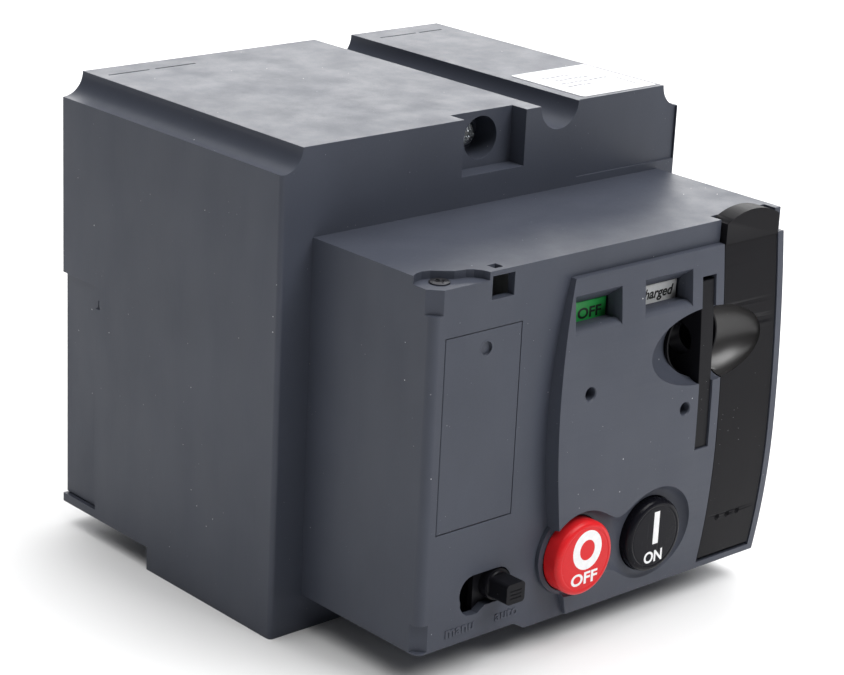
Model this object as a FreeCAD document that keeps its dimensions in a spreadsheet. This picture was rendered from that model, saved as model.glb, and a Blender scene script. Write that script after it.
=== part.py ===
"""Motor operator module for a three-pole moulded-case circuit breaker.

The module clamps on the breaker's front. Its motor, or its hand lever, pulls the breaker's
toggle down to OFF and loads two springs, which throw the toggle up again when ON is pressed.

Places are written from the module's middle (x), from the joint between the front cover and
the rear housing (y, backwards) and from its base (z, up). Every sub-part is then set down in
the object's frame, whose origin is the centre of the fixing holes in the rear plate's face.
"""
import FreeCAD, Part
import Sketcher
import math
import os
import re

SIZES = {
    # rear housing
    "width": 140.0, "depth": 94.5, "height": 129.7, "wall": 2.5, "cove": 6.3,
    "groove_x": 23.3, "groove_radius": 6.9, "step_y": 54.2, "step_rise": 6.5,
    "roof": 9.2, "window_low": 12.0, "window_high": 103.0, "window_side": 57.0,
    "pocket_half": 11.0, "pocket_deep": 5.5, "pocket_floor": 114.5,
    "screw_z": 122.4, "screw_bore": 5.8, "screw_seat": 13.5, "screw_boss": 16.0,
    "screw_hole": 2.6, "screw_radius": 2.5, "screw_head": 3.8, "screw_head_deep": 3.0,
    "mark_y": 86.5, "mark_wide": 0.6, "mark_deep": 0.5, "panel_x": 31.0, "panel_z": 108.5,
    "panel_deep": 0.6,
    "flap_y": 79.0, "flap_low": 9.0, "flap_high": 74.3, "flap_sunk": 1.2, "flap_thick": 2.0,
    "fit_gap": 0.2, "notch_low": 68.0, "notch_high": 70.6,
    "label_x": 34.2, "label_wide": 28.2, "label_y": 2.3, "label_long": 28.2, "label_thick": 0.2,
    # rear plate and the holes that fix the module to the breaker
    "plate": 2.0, "plate_half": 64.0, "plate_low": 9.7, "plate_high": 119.6,
    "toggle_half": 20.0, "toggle_low": 30.0, "toggle_high": 100.0,
    "pole_pitch": 46.65, "fixing_radius": 2.75,
    # front cover
    "cover_left": 59.9, "cover_right": 62.7, "cover_front": 45.2, "cover_low": 8.0,
    "cover_left_low": 10.2, "cover_high": 106.4, "skin": 2.4, "cover_round": 2.2,
    "low_step_x": 23.5, "low_step_slope": 3.7,
    "hatch_left": 55.5, "hatch_right": 30.7, "hatch_low": 41.5, "hatch_high": 91.8,
    "dimple_x": 42.1, "dimple_z": 87.2, "dimple_radius": 1.95, "dimple_deep": 0.7,
    "seal_left": 41.3, "seal_right": 34.0, "seal_low": 99.2, "seal_high": 105.1,
    "seal_pin_x": 37.9, "seal_pin_y": 42.1, "seal_pin_half": 1.4,
    "corner_right": 42.3, "corner_back": 35.6, "corner_sunk": 2.1, "cover_screw_x": 53.6,
    "cover_screw_y": 39.8, "cover_screw_radius": 2.6, "cover_screw_proud": 0.5, "star": 0.5,
    "facet": 3.2, "facet_top_low": 98.0, "facet_top_high": 104.3,
    "facet_base_low": 10.7, "facet_base_high": 18.0,
    # crowned front: two cylinders that meet at the crest
    "crest_z": 47.0, "crest": 4.6, "crown_upper": 501.0, "crown_lower": 211.0,
    "fascia_left": 19.7, "fascia_bow": 148.0, "fascia_bow_z": 62.0,
    "fascia_low": 8.4, "fascia_high": 100.3,
    "flag_low": 84.9, "flag_high": 96.5, "flag_floor": 85.8, "flag_roof": 91.4,
    "flag_back": 42.0, "off_flag_left": 14.9, "off_flag_right": 1.5,
    "charge_flag_left": 9.9, "charge_flag_right": 27.5,
    "pin_hole": 1.75, "pin_hole_x": 9.1, "pin_hole_z": 69.8, "peg_hole_x": 26.3, "peg_hole_z": 58.4,
    "well_x": 33.7, "well_z": 74.4, "well_radius": 9.6, "dish_wide": 20.9, "dish_high": 10.3,
    "dish_deep": 7.5, "dish_front": 49.0, "well_block_left": 12.0, "well_block_low": 62.0,
    "well_block_high": 84.2, "well_block_back": 41.0,
    # padlock tab
    "tab_left": 31.2, "tab_right": 36.4, "tab_low": 45.7, "tab_high": 93.0, "tab_back": 31.5,
    "tab_gap": 0.25, "tab_sunk": 0.5, "tab_top_gap": 1.3, "lock_radius": 4.2, "lock_y": 41.0,
    # charging lever
    "lever_left": 39.4, "lever_right": 60.5, "lever_gap": 0.45, "lever_low": 11.3,
    "lever_slot_low": 10.2, "lever_relief": 9.6, "relief_back": 34.0, "lever_high": 100.5,
    "lever_back": 42.5,
    "lever_pin_y": 43.0, "lever_pin_z": 17.0, "lever_pin": 2.0, "lever_hub": 4.0,
    "lever_skin": 2.2, "cap_high": 108.3, "cap_arch": 20.0, "cap_front": 47.1, "cap_back": 41.7,
    "cap_slot_back": 41.2, "scoop_back": 39.5, "arm": 10.0, "arm_rise": 1.0, "lug_y": 30.0,
    "bearing_left": 37.2, "bearing_back": 37.0, "bearing_high": 24.0, "dot_x": 44.6, "dot_pitch": 4.0,
    "dot_z": 22.8, "dot_radius": 0.8,
    # push-buttons, their recess, guide and springs
    "off_x": 9.0, "on_x": 17.7, "off_z": 26.0, "on_z": 25.0, "button_radius": 11.5,
    "button_gap": 0.3, "button_thick": 5.0, "button_round": 1.6, "off_front": 51.2,
    "on_front": 49.4, "off_rim": 13.4, "on_rim": 14.5, "waist_low": 15.0, "waist_high": 35.0,
    "rim_floor": 46.4, "stem": 4.0, "stem_end": 24.5, "nose": 1.0, "nose_end": 20.8, "guide_front": 36.0,
    "guide_back": 34.0, "running": 0.05, "button_coil": 5.6, "button_wire": 0.5,
    # selector
    "select_left": 46.6, "select_right": 29.2, "select_z": 23.0, "select_half": 4.6,
    "select_x": 33.8, "hub": 4.2, "key_wide": 4.8, "key_high": 4.1,
    "key_front": 52.0, "select_notch_left": 46.2, "select_notch_right": 37.6,
    "select_notch_low": 16.8, "slider_half": 6.2, "slider_thick": 1.6,
    # mechanism frame
    "frame_half": 32.0, "frame_plate": 2.0, "frame_front": 30.0, "frame_back": 92.3,
    "frame_low": 14.0, "frame_front_high": 98.0, "frame_high": 112.0, "frame_step": 4.0,
    "pillar": 3.5, "frame_screw": 3.2, "frame_screw_deep": 1.8,
    "rod": 3.0, "rod_x": 26.0, "rod_y": 86.0, "foot": 2.0,
    # toggle carriage and its springs
    "carriage_x": 31.4, "carriage_y": 81.0, "carriage_z": 47.0, "carriage_half": 7.5,
    "carriage_deep": 10.0, "socket_half": 8.5, "socket_high": 6.0,
    "bush": 4.6, "spring_coil": 4.4, "spring_wire": 0.7, "spring_turns": 7.0,
    # rocker
    "rocker_y": 34.5, "rocker_z": 64.0, "rocker_left": 20.0, "rocker_right": 15.0,
    "rocker_half": 1.8, "rocker_pin": 2.5, "rocker_hub": 4.2, "rocker_tip": 2.2, "tail": 20.0,
    "tail_half": 2.0, "roller": 4.0, "roller_pin": 1.5,
    # cam shaft, ratchet and gears
    "cam_y": 27.0, "cam_z": 54.0, "shaft": 4.0, "bush_out": 6.5, "crank": 11.9,
    "crank_half": 3.5, "crank_hub": 7.0, "cam_left": 11.0, "cam_right": 6.0, "module": 0.8,
    "gear_left": 35.0, "gear_right": 39.0, "ratchet_left": 39.6, "ratchet_right": 42.6,
    "ratchet": 11.5, "ratchet_root": 9.8, "carrier_left": 43.0, "carrier_right": 45.2,
    "link_left": 45.6, "link_right": 47.6, "link_half": 3.0, "link_pin": 1.6, "link_end": 3.6,
    "pawl_reach": 12.4, "pawl_pin": 1.2, "pawl_half": 2.0,
    "motor_radius": 13.6, "motor_left": 10.0, "motor_shaft": 1.5,
    # latches, coils and indicators
    "latch_y": 12.0, "latch_z": 40.0, "latch_pin": 2.0, "latch_hub": 4.0, "latch_face": 19.6,
    "trip_z": 12.4, "arm_half": 3.0, "coil_front": 33.6, "coil_back": 22.6, "coil_half": 6.0,
    "coil_low": 19.5, "coil_high": 32.5, "closing_coil_x": 22.0, "opening_coil_x": 2.5,
    "plunger": 1.8, "plunger_z": 26.0,
    "drum_y": 36.6, "drum_z": 88.6, "drum": 5.4, "axle": 1.5, "drum_rib": 2.0,
    "drum_rib_back": 33.5, "drum_rib_low": 85.4, "drum_rib_high": 93.0,
    # electrics
    "board_x": 62.0, "board_thick": 1.6, "board_y": 8.0, "board_long": 68.0,
    "board_low": 24.0, "board_high": 112.0, "relay_wide": 14.0, "relay_long": 18.0,
    "relay_high": 16.0, "block_x": 64.0, "block_y": 79.5, "block_wide": 13.0,
    "block_deep": 11.5, "block_low": 14.0, "block_high": 70.0, "way_pitch": 8.0,
    "way_radius": 2.6, "switch_wide": 6.5, "switch_long": 16.0, "switch_high": 10.0,
}

GEARS = {"pinion": 10, "idler_wheel": 28, "idler_pinion": 12, "main": 60}
RATCHET_TEETH = 24
HOLD_PAWL_PIN = ("cam_y - 23.8", "cam_z + 13.8")
HOLD_PAWL_TOE = ("cam_y - 4.8", "cam_z + 13.1")
PRESSURE_ANGLE = math.radians(20.0)
BACKLASH = 0.10
IDLER_ANGLE = math.radians(-20.0)
MOTOR_ANGLE = math.radians(75.0)
CRANK_ANGLE = math.radians(45.0)
CORNER_POCKET = [
    ("-cover_left - 1", "-cover_front - 1"), ("-cover_left - 1", "-38.4"),
    ("-cover_left + 0.6", "-37.1"), ("-57.9", "-36.2"), ("-55.8", "-35.8"), ("-53.6", "-36.4"),
    ("-51.2", "-38.2"), ("-48.9", "-39.8"), ("-47.4", "-40.2"), ("-45.7", "-40.4"),
    ("-44", "-41.4"), ("-42.8", "-43.1"), ("-corner_right", "-45"),
    ("-corner_right", "-cover_front - 1"),
]

doc = FreeCAD.newDocument("breaker_motor_module")
sheet = doc.addObject("Spreadsheet::Sheet", "Sizes")
for row, (alias, number) in enumerate(SIZES.items(), start=1):
    sheet.set(f"A{row}", alias)
    sheet.set(f"B{row}", str(number))
    sheet.setAlias(f"B{row}", alias)
doc.recompute()

NODES = []


def link(text):
    """Turn the sheet's words in an expression into references to the sheet."""
    def refer(match):
        word = match.group(0)
        return "Sizes." + word if word in SIZES else word
    return re.sub(r"[a-z][a-z_]*", refer, text)


def value(text):
    """Work an expression out as a number."""
    return float(sheet.evalExpression(link(text)))


def row_y(text):
    return f"({text}) - depth"


def row_z(text):
    return f"({text}) - height / 2"


def bind(thing, **expressions):
    for name, text in expressions.items():
        thing.setExpression(name, link(text))
    return thing


def put(thing, x, y, z):
    """Place a primitive, given in the module's own measures."""
    thing.setExpression(".Placement.Base.x", link(x))
    thing.setExpression(".Placement.Base.y", link(row_y(y)))
    thing.setExpression(".Placement.Base.z", link(row_z(z)))
    return thing


def node(thing, label):
    thing.Label = label
    NODES.append(thing)
    return thing


def box(x, y, z):
    """A box from three pairs of expressions, low and high."""
    solid = doc.addObject("Part::Box", "Block")
    bind(solid, Length=f"({x[1]}) - ({x[0]})", Width=f"({y[1]}) - ({y[0]})",
         Height=f"({z[1]}) - ({z[0]})")
    return put(solid, x[0], y[0], z[0])


AXIS_TURN = {
    "x": FreeCAD.Rotation(FreeCAD.Vector(0, 1, 0), 90),
    "y": FreeCAD.Rotation(FreeCAD.Vector(1, 0, 0), -90),
    "z": FreeCAD.Rotation(),
}


def rod(axis, low, high, first, second, radius):
    """A round bar along an axis; first and second are its other two coordinates."""
    solid = doc.addObject("Part::Cylinder", "Round")
    solid.Placement = FreeCAD.Placement(FreeCAD.Vector(), AXIS_TURN[axis])
    bind(solid, Radius=radius, Height=f"({high}) - ({low})")
    places = {"x": (low, first, second), "y": (first, low, second), "z": (first, second, low)}
    return put(solid, *places[axis])


def fuse(*shapes):
    if len(shapes) == 1:
        return shapes[0]
    whole = doc.addObject("Part::MultiFuse", "Union")
    whole.Shapes = list(shapes)
    return whole


def group(*shapes):
    """Separate solids of one node."""
    whole = doc.addObject("Part::Compound", "Group")
    whole.Links = list(shapes)
    return whole


def cut(base, *tools):
    result = doc.addObject("Part::Cut", "Cut")
    result.Base = base
    result.Tool = fuse(*tools)
    return result


def common(first, second):
    result = doc.addObject("Part::Common", "Shared")
    result.Base = first
    result.Tool = second
    return result


def fillet(base, radius, wanted):
    """Round the edges of a base that a test picks by their middle point and direction."""
    doc.recompute()
    rounded = doc.addObject("Part::Fillet", "Rounded")
    rounded.Base = base
    size = value(radius)
    picked = []
    for number, edge in enumerate(base.Shape.Edges, start=1):
        middle = edge.CenterOfMass
        direction = edge.tangentAt(edge.FirstParameter)
        if wanted(middle, direction):
            picked.append((number, size, size))
    rounded.Edges = picked
    return rounded


def plane_of(body, role):
    return next(item for item in body.Origin.OriginFeatures if item.Role == role)


def sketch(body, role, lift):
    """A sketch on one of a body's origin planes, lifted along that plane's normal."""
    drawing = body.newObject("Sketcher::SketchObject", "Outline")
    drawing.AttachmentSupport = [(plane_of(body, role), "")]
    drawing.MapMode = "FlatFace"
    drawing.setExpression(".AttachmentOffset.Base.z", link(lift))
    return drawing


def draw_polygon(drawing, points):
    """Close a polygon whose corners are pairs of expressions."""
    places = [(value(a), value(b)) for a, b in points]
    first = drawing.GeometryCount
    count = len(places)
    for index in range(count):
        start = FreeCAD.Vector(*places[index], 0)
        end = FreeCAD.Vector(*places[(index + 1) % count], 0)
        drawing.addGeometry(Part.LineSegment(start, end))
    for index in range(count):
        line = first + index
        following = first + (index + 1) % count
        drawing.addConstraint(Sketcher.Constraint("Coincident", line, 2, following, 1))
        for kind, text, number in zip(("DistanceX", "DistanceY"), points[index], places[index]):
            if abs(number) < 1e-9:
                on_axis = -2 if kind == "DistanceX" else -1
                drawing.addConstraint(Sketcher.Constraint("PointOnObject", line, 1, on_axis))
                continue
            name = drawing.addConstraint(Sketcher.Constraint(kind, -1, 1, line, 1, number))
            drawing.setExpression(f"Constraints[{name}]", link(text))


def draw_circle(drawing, across, up, radius):
    centre = FreeCAD.Vector(value(across), value(up), 0)
    ring = drawing.addGeometry(Part.Circle(centre, FreeCAD.Vector(0, 0, 1), value(radius)))
    for kind, text in (("DistanceX", across), ("DistanceY", up)):
        number = value(text)
        if abs(number) < 1e-9:
            on_axis = -2 if kind == "DistanceX" else -1
            drawing.addConstraint(Sketcher.Constraint("PointOnObject", ring, 3, on_axis))
            continue
        name = drawing.addConstraint(Sketcher.Constraint(kind, -1, 1, ring, 3, number))
        drawing.setExpression(f"Constraints[{name}]", link(text))
    size = drawing.addConstraint(Sketcher.Constraint("Radius", ring, value(radius)))
    drawing.setExpression(f"Constraints[{size}]", link(radius))


def pad_yz(label, low, high, outline, holes=()):
    """A flat piece cut from a sketch in the YZ plane, between two x places."""
    body = doc.addObject("PartDesign::Body", "Body")
    drawing = sketch(body, "YZ_Plane", low)
    draw_polygon(drawing, [(row_y(a), row_z(b)) for a, b in outline])
    for y, z, radius in holes:
        draw_circle(drawing, row_y(y), row_z(z), radius)
    pad = body.newObject("PartDesign::Pad", "Pad")
    pad.Profile = drawing
    bind(pad, Length=f"({high}) - ({low})")
    body.Label = label
    return body


def pad_xz(label, front, back, outline, holes=()):
    """A flat piece cut from a sketch in the XZ plane, between two y places."""
    body = doc.addObject("PartDesign::Body", "Body")
    drawing = sketch(body, "XZ_Plane", f"-({row_y(back)})")
    draw_polygon(drawing, [(a, row_z(b)) for a, b in outline])
    for x, z, radius in holes:
        draw_circle(drawing, x, row_z(z), radius)
    pad = body.newObject("PartDesign::Pad", "Pad")
    pad.Profile = drawing
    bind(pad, Length=f"({back}) - ({front})")
    body.Label = label
    return body


def pocket_all(body, role, lift, shapes):
    """Cut circles and polygons through a whole body, both ways from a plane."""
    drawing = sketch(body, role, lift)
    for shape in shapes:
        if isinstance(shape, list):
            draw_polygon(drawing, shape)
        else:
            draw_circle(drawing, *shape)
    pocket = body.newObject("PartDesign::Pocket", "Pocket")
    pocket.Profile = drawing
    pocket.Type = "ThroughAll"
    pocket.Midplane = True
    return pocket


def mirrored_x(pair):
    return (f"-({pair[1]})", f"-({pair[0]})")


def capsule(label, low, high, start, end, half, holes):
    """A flat bar with round ends, between two points of the YZ plane."""
    y1, z1 = value(start[0]), value(start[1])
    y2, z2 = value(end[0]), value(end[1])
    length = math.hypot(y2 - y1, z2 - z1)
    along_y, along_z = (y2 - y1) / length, (z2 - z1) / length
    across = [(-along_z, along_y), (along_z, -along_y)]
    corners = []
    for (y, z), (side_y, side_z) in zip(((start), (start), (end), (end)),
                                        (across[0], across[1], across[1], across[0])):
        corners.append((f"({y}) + {side_y} * ({half})", f"({z}) + {side_z} * ({half})"))
    bar = pad_yz(label, low, high, corners)
    ends = [rod("x", low, high, *place, half) for place in (start, end)]
    whole = fuse(bar, *ends)
    tools = [rod("x", f"({low}) - 1", f"({high}) + 1", y, z, radius) for y, z, radius in holes]
    return cut(whole, *tools) if tools else whole


# ---------------------------------------------------------------- rear housing

def rear_housing():
    outer = box(("-width / 2", "width / 2"), ("0", "depth"), ("0", "height"))
    outer = fillet(outer, "wall / 2", lambda middle, way: abs(way.z) > 0.9 and middle.y < -50)
    half = "width / 2 - wall"
    roof = "height - roof"
    cavity = [
        box((f"-({half})", half), ("wall", "depth + 1"), ("step_rise + wall", roof)),
        box((f"-({half})", half), ("wall", "step_y - wall"), ("wall", "step_rise + wall")),
        box((f"-({half}) + cove", "groove_x - groove_radius - wall"), ("wall", "depth - wall"),
            (roof, "height - wall")),
        box(("groove_x + groove_radius + wall", f"{half} - cove"), ("wall", "depth - wall"),
            (roof, "height - wall")),
    ]
    boss = box(("-pocket_half - wall", "pocket_half + wall"), ("wall", "screw_boss"),
               ("pocket_floor - wall", "height - wall"))
    cavity = cut(fuse(*cavity), boss)
    tools = [
        cavity,
        box(("-width", "width"), ("step_y", "depth + 1"), ("-1", "step_rise")),
        rod("y", "-1", "depth + 1", "-width / 2", "height", "cove"),
        rod("y", "-1", "depth + 1", "width / 2", "height", "cove"),
        rod("y", "-1", "depth + 1", "groove_x", "height", "groove_radius"),
        box(("-window_side", "cover_right - skin"), ("-1", "wall + 1"),
            ("window_low", "window_high")),
        box(("-pocket_half", "pocket_half"), ("-1", "pocket_deep"),
            ("pocket_floor", "height + 1")),
        rod("y", "0", "screw_seat", "0", "screw_z", "screw_bore"),
        rod("y", "0", "depth + 1", "0", "screw_z", "screw_hole"),
        box(("panel_x", "width / 2 - 1"), ("-1", "panel_deep"), ("panel_z", "height + 1")),
        box(("-width / 2 - 1", "-width / 2 + flap_sunk"), ("flap_y - 2", "flap_y"),
            ("notch_low", "notch_high")),
    ]
    for side in (("-width / 2 - 1", "-width / 2 + wall + 1"),
                 ("width / 2 - wall - 1", "width / 2 + 1")):
        tools.append(box(side, ("flap_y", "depth + 1"), ("flap_low", "flap_high")))
    for start, end in (("-60.5", "-47.3"), ("-45.4", "-31.9"), ("34.9", "48.6"), ("50", "58.8")):
        tools.append(box((start, end), ("mark_y", "mark_y + mark_wide"),
                         ("height - mark_deep", "height + 1")))
    node(cut(outer, *tools), "rear_housing")


def side_covers():
    outer = "width / 2 - flap_sunk"
    inner = "width / 2 - flap_sunk - flap_thick"
    for label, x in (("left_side_cover", mirrored_x((inner, outer))),
                     ("right_side_cover", (inner, outer))):
        cover = box(x, ("flap_y + fit_gap", "depth"),
                    ("flap_low + fit_gap", "flap_high - fit_gap"))
        node(cover, label)


def blank_label():
    node(box(("label_x", "label_x + label_wide"), ("label_y", "label_y + label_long"),
             ("height", "height + label_thick")), "blank_label")


def fixing_screw():
    head = rod("y", "screw_seat - screw_head_deep", "screw_seat", "0", "screw_z", "screw_head")
    shank = rod("y", "screw_seat", "depth - 0.5", "0", "screw_z", "screw_radius")
    slots = [
        box(("-0.5", "0.5"), ("screw_seat - screw_head_deep - 1", "screw_seat - 1.2"),
            ("screw_z - 2.6", "screw_z + 2.6")),
        box(("-2.6", "2.6"), ("screw_seat - screw_head_deep - 1", "screw_seat - 1.2"),
            ("screw_z - 0.5", "screw_z + 0.5")),
    ]
    node(cut(fuse(head, shank), *slots), "fixing_screw")


def rear_plate():
    outline = [("-plate_half", "plate_low"), ("plate_half", "plate_low"),
               ("plate_half", "plate_high"), ("-plate_half", "plate_high")]
    holes = []
    for side in ("-pole_pitch", "pole_pitch"):
        for z in ("height / 2 - pole_pitch", "height / 2 + pole_pitch"):
            holes.append((side, z, "fixing_radius"))
    plate = pad_xz("rear_plate", "depth - plate", "depth", outline, holes)
    opening = [("-toggle_half", row_z("toggle_low")), ("toggle_half", row_z("toggle_low")),
               ("toggle_half", row_z("toggle_high")), ("-toggle_half", row_z("toggle_high"))]
    pocket_all(plate, "XZ_Plane", "1", [opening])
    node(plate, "rear_plate")


# ---------------------------------------------------------------- front cover

def crown(x, z, sunk="0", back="cover_front"):
    """A block with the module's crowned front, between two x and two z places."""
    front = "-cover_front - crest"
    pieces = []
    for radius, low, high in (("crown_upper", "crest_z", z[1]), ("crown_lower", z[0], "crest_z")):
        slab = box(x, (f"{front} - 1", f"-({back})"), (low, high))
        barrel = rod("x", f"({x[0]}) - 1", f"({x[1]}) + 1", f"{front} + {radius} + ({sunk})",
                     "crest_z", radius)
        pieces.append(common(slab, barrel))
    return fuse(*pieces)


def flag_window(left, right):
    """The funnel of an indicator window, with a roof that slopes in."""
    front = "-cover_front - crest - 1"
    outline = [(front, "flag_low"), ("-cover_front - 3.2", "flag_low"),
               ("-cover_front - 1.6", "flag_floor - 0.2"), ("-flag_back", "flag_floor"),
               ("-flag_back + 1", "flag_floor"), ("-flag_back + 1", "flag_roof"),
               ("-flag_back", "flag_roof"), ("-cover_front - 2.2", "flag_high"),
               (front, "flag_high")]
    return pad_yz("flag_window", left, right, outline)


def button_bores(radius):
    return [rod("y", "-60", "-cover_front + skin + 1", "-off_x", "off_z", radius),
            rod("y", "-60", "-cover_front + skin + 1", "on_x", "on_z", radius)]


def tab_slot():
    return box(("tab_left", "tab_right"), ("-60", "-tab_back"), ("tab_low", "tab_high"))


def dish():
    """The ellipsoid that hollows the finger well in the fascia and in the lever."""
    bowl = doc.addObject("Part::Ellipsoid", "Dish")
    bind(bowl, Radius1="dish_high", Radius2="dish_wide", Radius3="dish_deep")
    bowl.Angle1, bowl.Angle2, bowl.Angle3 = -90, 90, 360
    return put(bowl, "well_x", "-dish_front", "well_z")


def front_cover():
    x = ("-cover_left", "cover_right")
    outer = box(x, ("-cover_front", "0"), ("cover_low", "cover_high"))
    outer = fillet(outer, "cover_round",
                   lambda middle, way: abs(way.z) > 0.9 and middle.y < -100 and middle.x < 0)
    cavity = box(("-cover_left + skin", "cover_right - skin"), ("-cover_front + skin", "1"),
                 ("cover_left_low + skin", "cover_high - skin"))
    kept = [
        box(("-cover_left + skin", "-corner_right + skin"),
            ("-cover_front + skin", "-corner_back + skin"),
            ("cover_high - corner_sunk - skin", "cover_high - skin")),
        box(("bearing_left", "lever_left - fit_gap"), ("-cover_front + skin", "-bearing_back"),
            ("cover_left_low + skin", "bearing_high")),
        box(("-25", "-23"), ("-cover_front + skin", "-guide_front"), ("14.6", "40")),
        box(("30.4", "32.4"), ("-cover_front + skin", "-guide_front"), ("14.6", "40")),
    ]
    for left in ("-off_flag_left - 3.5", "(off_flag_right + charge_flag_left - drum_rib) / 2",
                 "charge_flag_right + 1.4"):
        kept.append(box((left, f"{left} + drum_rib"),
                        ("-cover_front + skin", "-drum_rib_back"),
                        ("drum_rib_low", "drum_rib_high")))
    slope_low = "low_step_x + low_step_slope"
    low_step = pad_xz("low_step", "-cover_front - 1", "1",
                      [("-cover_left - 1", "cover_low - 1"), ("-low_step_x", "cover_low - 1"),
                       ("-low_step_x", "cover_low"), (f"-({slope_low})", "cover_left_low"),
                       ("-cover_left - 1", "cover_left_low")])
    tools = [
        cut(cavity, *kept),
        low_step,
        box(("-hatch_left - fit_gap", "-hatch_right + fit_gap"), ("-60", "-cover_front + skin + 1"),
            ("hatch_low - fit_gap", "hatch_high + fit_gap")),
        box(("-seal_left", "-seal_right"), ("-60", "-cover_front + skin + 1"),
            ("seal_low", "seal_high")),
        box(("-seal_pin_x - seal_pin_half", "-seal_pin_x + seal_pin_half"),
            ("-seal_pin_y - seal_pin_half", "-seal_pin_y + seal_pin_half"),
            ("seal_high - 0.5", "cover_high + 1")),
        pad_xy("cover_high - corner_sunk", "cover_high + 1", CORNER_POCKET),
        flag_window("-off_flag_left", "off_flag_right"),
        flag_window("charge_flag_left", "charge_flag_right"),
        *button_bores("button_radius + button_gap"),
        tab_slot(),
        box(("well_block_left - fit_gap", "lever_left"), ("-60", "-cover_front + skin + 1"),
            ("well_block_low - fit_gap", "well_block_high + fit_gap")),
        box(("lever_left", "lever_right"), ("-60", "-cover_front + skin + 1"),
            ("lever_relief", "cap_high")),
        box(("lever_left", "lever_right"), ("-60", "-cap_slot_back"),
            ("lever_high - 2", "cap_high + 1")),
        box(("lever_left", "lever_right"), ("-60", "-relief_back"),
            ("lever_relief", "cover_left_low + skin + 1")),
        rod("x", "bearing_left", "cover_right - 0.5", "-lever_pin_y", "lever_pin_z",
            "lever_pin"),
        rod("x", "-off_flag_left - 5", "charge_flag_right + 3.4", "-drum_y", "drum_z", "axle"),
        *selector_slot(),
    ]
    for low, high in (("facet_top_low", "facet_top_high"), ("facet_base_low", "facet_base_high")):
        tools.append(pad_xy(low, high, [("-cover_left - 1", "-cover_front + facet + 1"),
                                        ("-cover_left - 1", "-cover_front - 1"),
                                        ("-cover_left + facet + 1", "-cover_front - 1")]))
    node(cut(outer, *tools), "front_cover")


def pad_xy(low, high, outline):
    """A flat piece cut from a sketch in the XY plane, between two heights."""
    body = doc.addObject("PartDesign::Body", "Body")
    drawing = sketch(body, "XY_Plane", row_z(low))
    draw_polygon(drawing, [(x, row_y(y)) for x, y in outline])
    pad = body.newObject("PartDesign::Pad", "Pad")
    pad.Profile = drawing
    bind(pad, Length=f"({high}) - ({low})")
    return body


def selector_slot():
    """The cutters for the slot that the mode selector slides in, with its lower lobe."""
    through = ("-60", "-cover_front + skin + 1")
    left, right = "-select_left + select_half", "-select_right - select_half"
    notch_left, notch_right = "-select_notch_left", "-select_notch_right"
    lobe = [(notch_left, "select_z"), (notch_left, "select_notch_low + 3"),
            (f"{notch_left} + 0.8", "select_notch_low + 1.4"),
            (f"{notch_left} + 2.2", "select_notch_low + 0.3"),
            (f"{notch_left} + 4", "select_notch_low"), (f"{notch_right} - 2.6", "select_notch_low"),
            (notch_right, "select_z - select_half + 0.1"), (notch_right, "select_z")]
    return [box((left, right), through, ("select_z - select_half", "select_z + select_half")),
            rod("y", *through, left, "select_z", "select_half"),
            rod("y", *through, right, "select_z", "select_half"),
            pad_xz("lobe", *through, lobe)]


def keylock_blank():
    plate = box(("-hatch_left", "-hatch_right"), ("-cover_front", "-cover_front + skin"),
                ("hatch_low", "hatch_high"))
    dimple = rod("y", "-cover_front - 1", "-cover_front + dimple_deep", "-dimple_x", "dimple_z",
                 "dimple_radius")
    node(cut(plate, dimple), "keylock_blank")


def fascia_plate():
    body = crown(("-fascia_left - 1", "cover_right"), ("fascia_low", "fascia_high"))
    bow = rod("y", "-60", "0", "fascia_bow - fascia_left", "fascia_bow_z", "fascia_bow")
    well = box(("well_block_left", "lever_left - fit_gap"), ("-cover_front", "-well_block_back"),
               ("well_block_low", "well_block_high"))
    tools = [
        box(("lever_left", "lever_right"), ("-60", "0"), ("lever_slot_low", "cap_high")),
        flag_window("-off_flag_left", "off_flag_right"),
        flag_window("charge_flag_left", "charge_flag_right"),
        *button_bores("button_radius + button_gap"),
        tab_slot(),
        rod("y", "-60", "0", "well_x", "well_z", "well_radius"),
        dish(),
        rod("y", "-60", "-cover_front - 0.6", "-pin_hole_x", "pin_hole_z", "pin_hole"),
        rod("y", "-60", "-cover_front - 0.6", "peg_hole_x", "peg_hole_z", "pin_hole"),
        rod("y", "-60", "-rim_floor", "-off_x", "off_z", "off_rim"),
        rod("y", "-60", "-rim_floor", "on_x", "on_z", "on_rim"),
        box(("-off_x", "on_x"), ("-60", "-rim_floor"), ("waist_low", "waist_high")),
    ]
    node(cut(fuse(common(body, bow), well), *tools), "fascia_plate")


def cover_screw():
    x, y, floor = "-cover_screw_x", "-cover_screw_y", "cover_high - corner_sunk"
    top = f"{floor} + cover_screw_proud"
    head = rod("z", floor, top, x, y, "cover_screw_radius")
    reach = "cover_screw_radius - 0.9"
    slots = [box((f"{x} - star", f"{x} + star"), (f"{y} - ({reach})", f"{y} + ({reach})"),
                 (f"{floor} + 0.1", f"{top} + 1")),
             box((f"{x} - ({reach})", f"{x} + ({reach})"), (f"{y} - star", f"{y} + star"),
                 (f"{floor} + 0.1", f"{top} + 1"))]
    node(cut(head, *slots), "cover_screw")


# ---------------------------------------------------------------- controls

def padlock_tab():
    x = ("tab_left + tab_gap", "tab_right - tab_gap")
    low, high = "tab_low + tab_gap", "tab_high - tab_top_gap"
    front = crown(x, (low, high), "tab_sunk", "cover_front")
    tail = box(x, ("-cover_front", "-tab_back + fit_gap"), (low, high))
    hole = rod("x", "tab_left - 1", "tab_right + 1", "-lock_y", "well_z", "lock_radius")
    node(cut(fuse(front, tail), hole), "padlock_tab")


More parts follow.
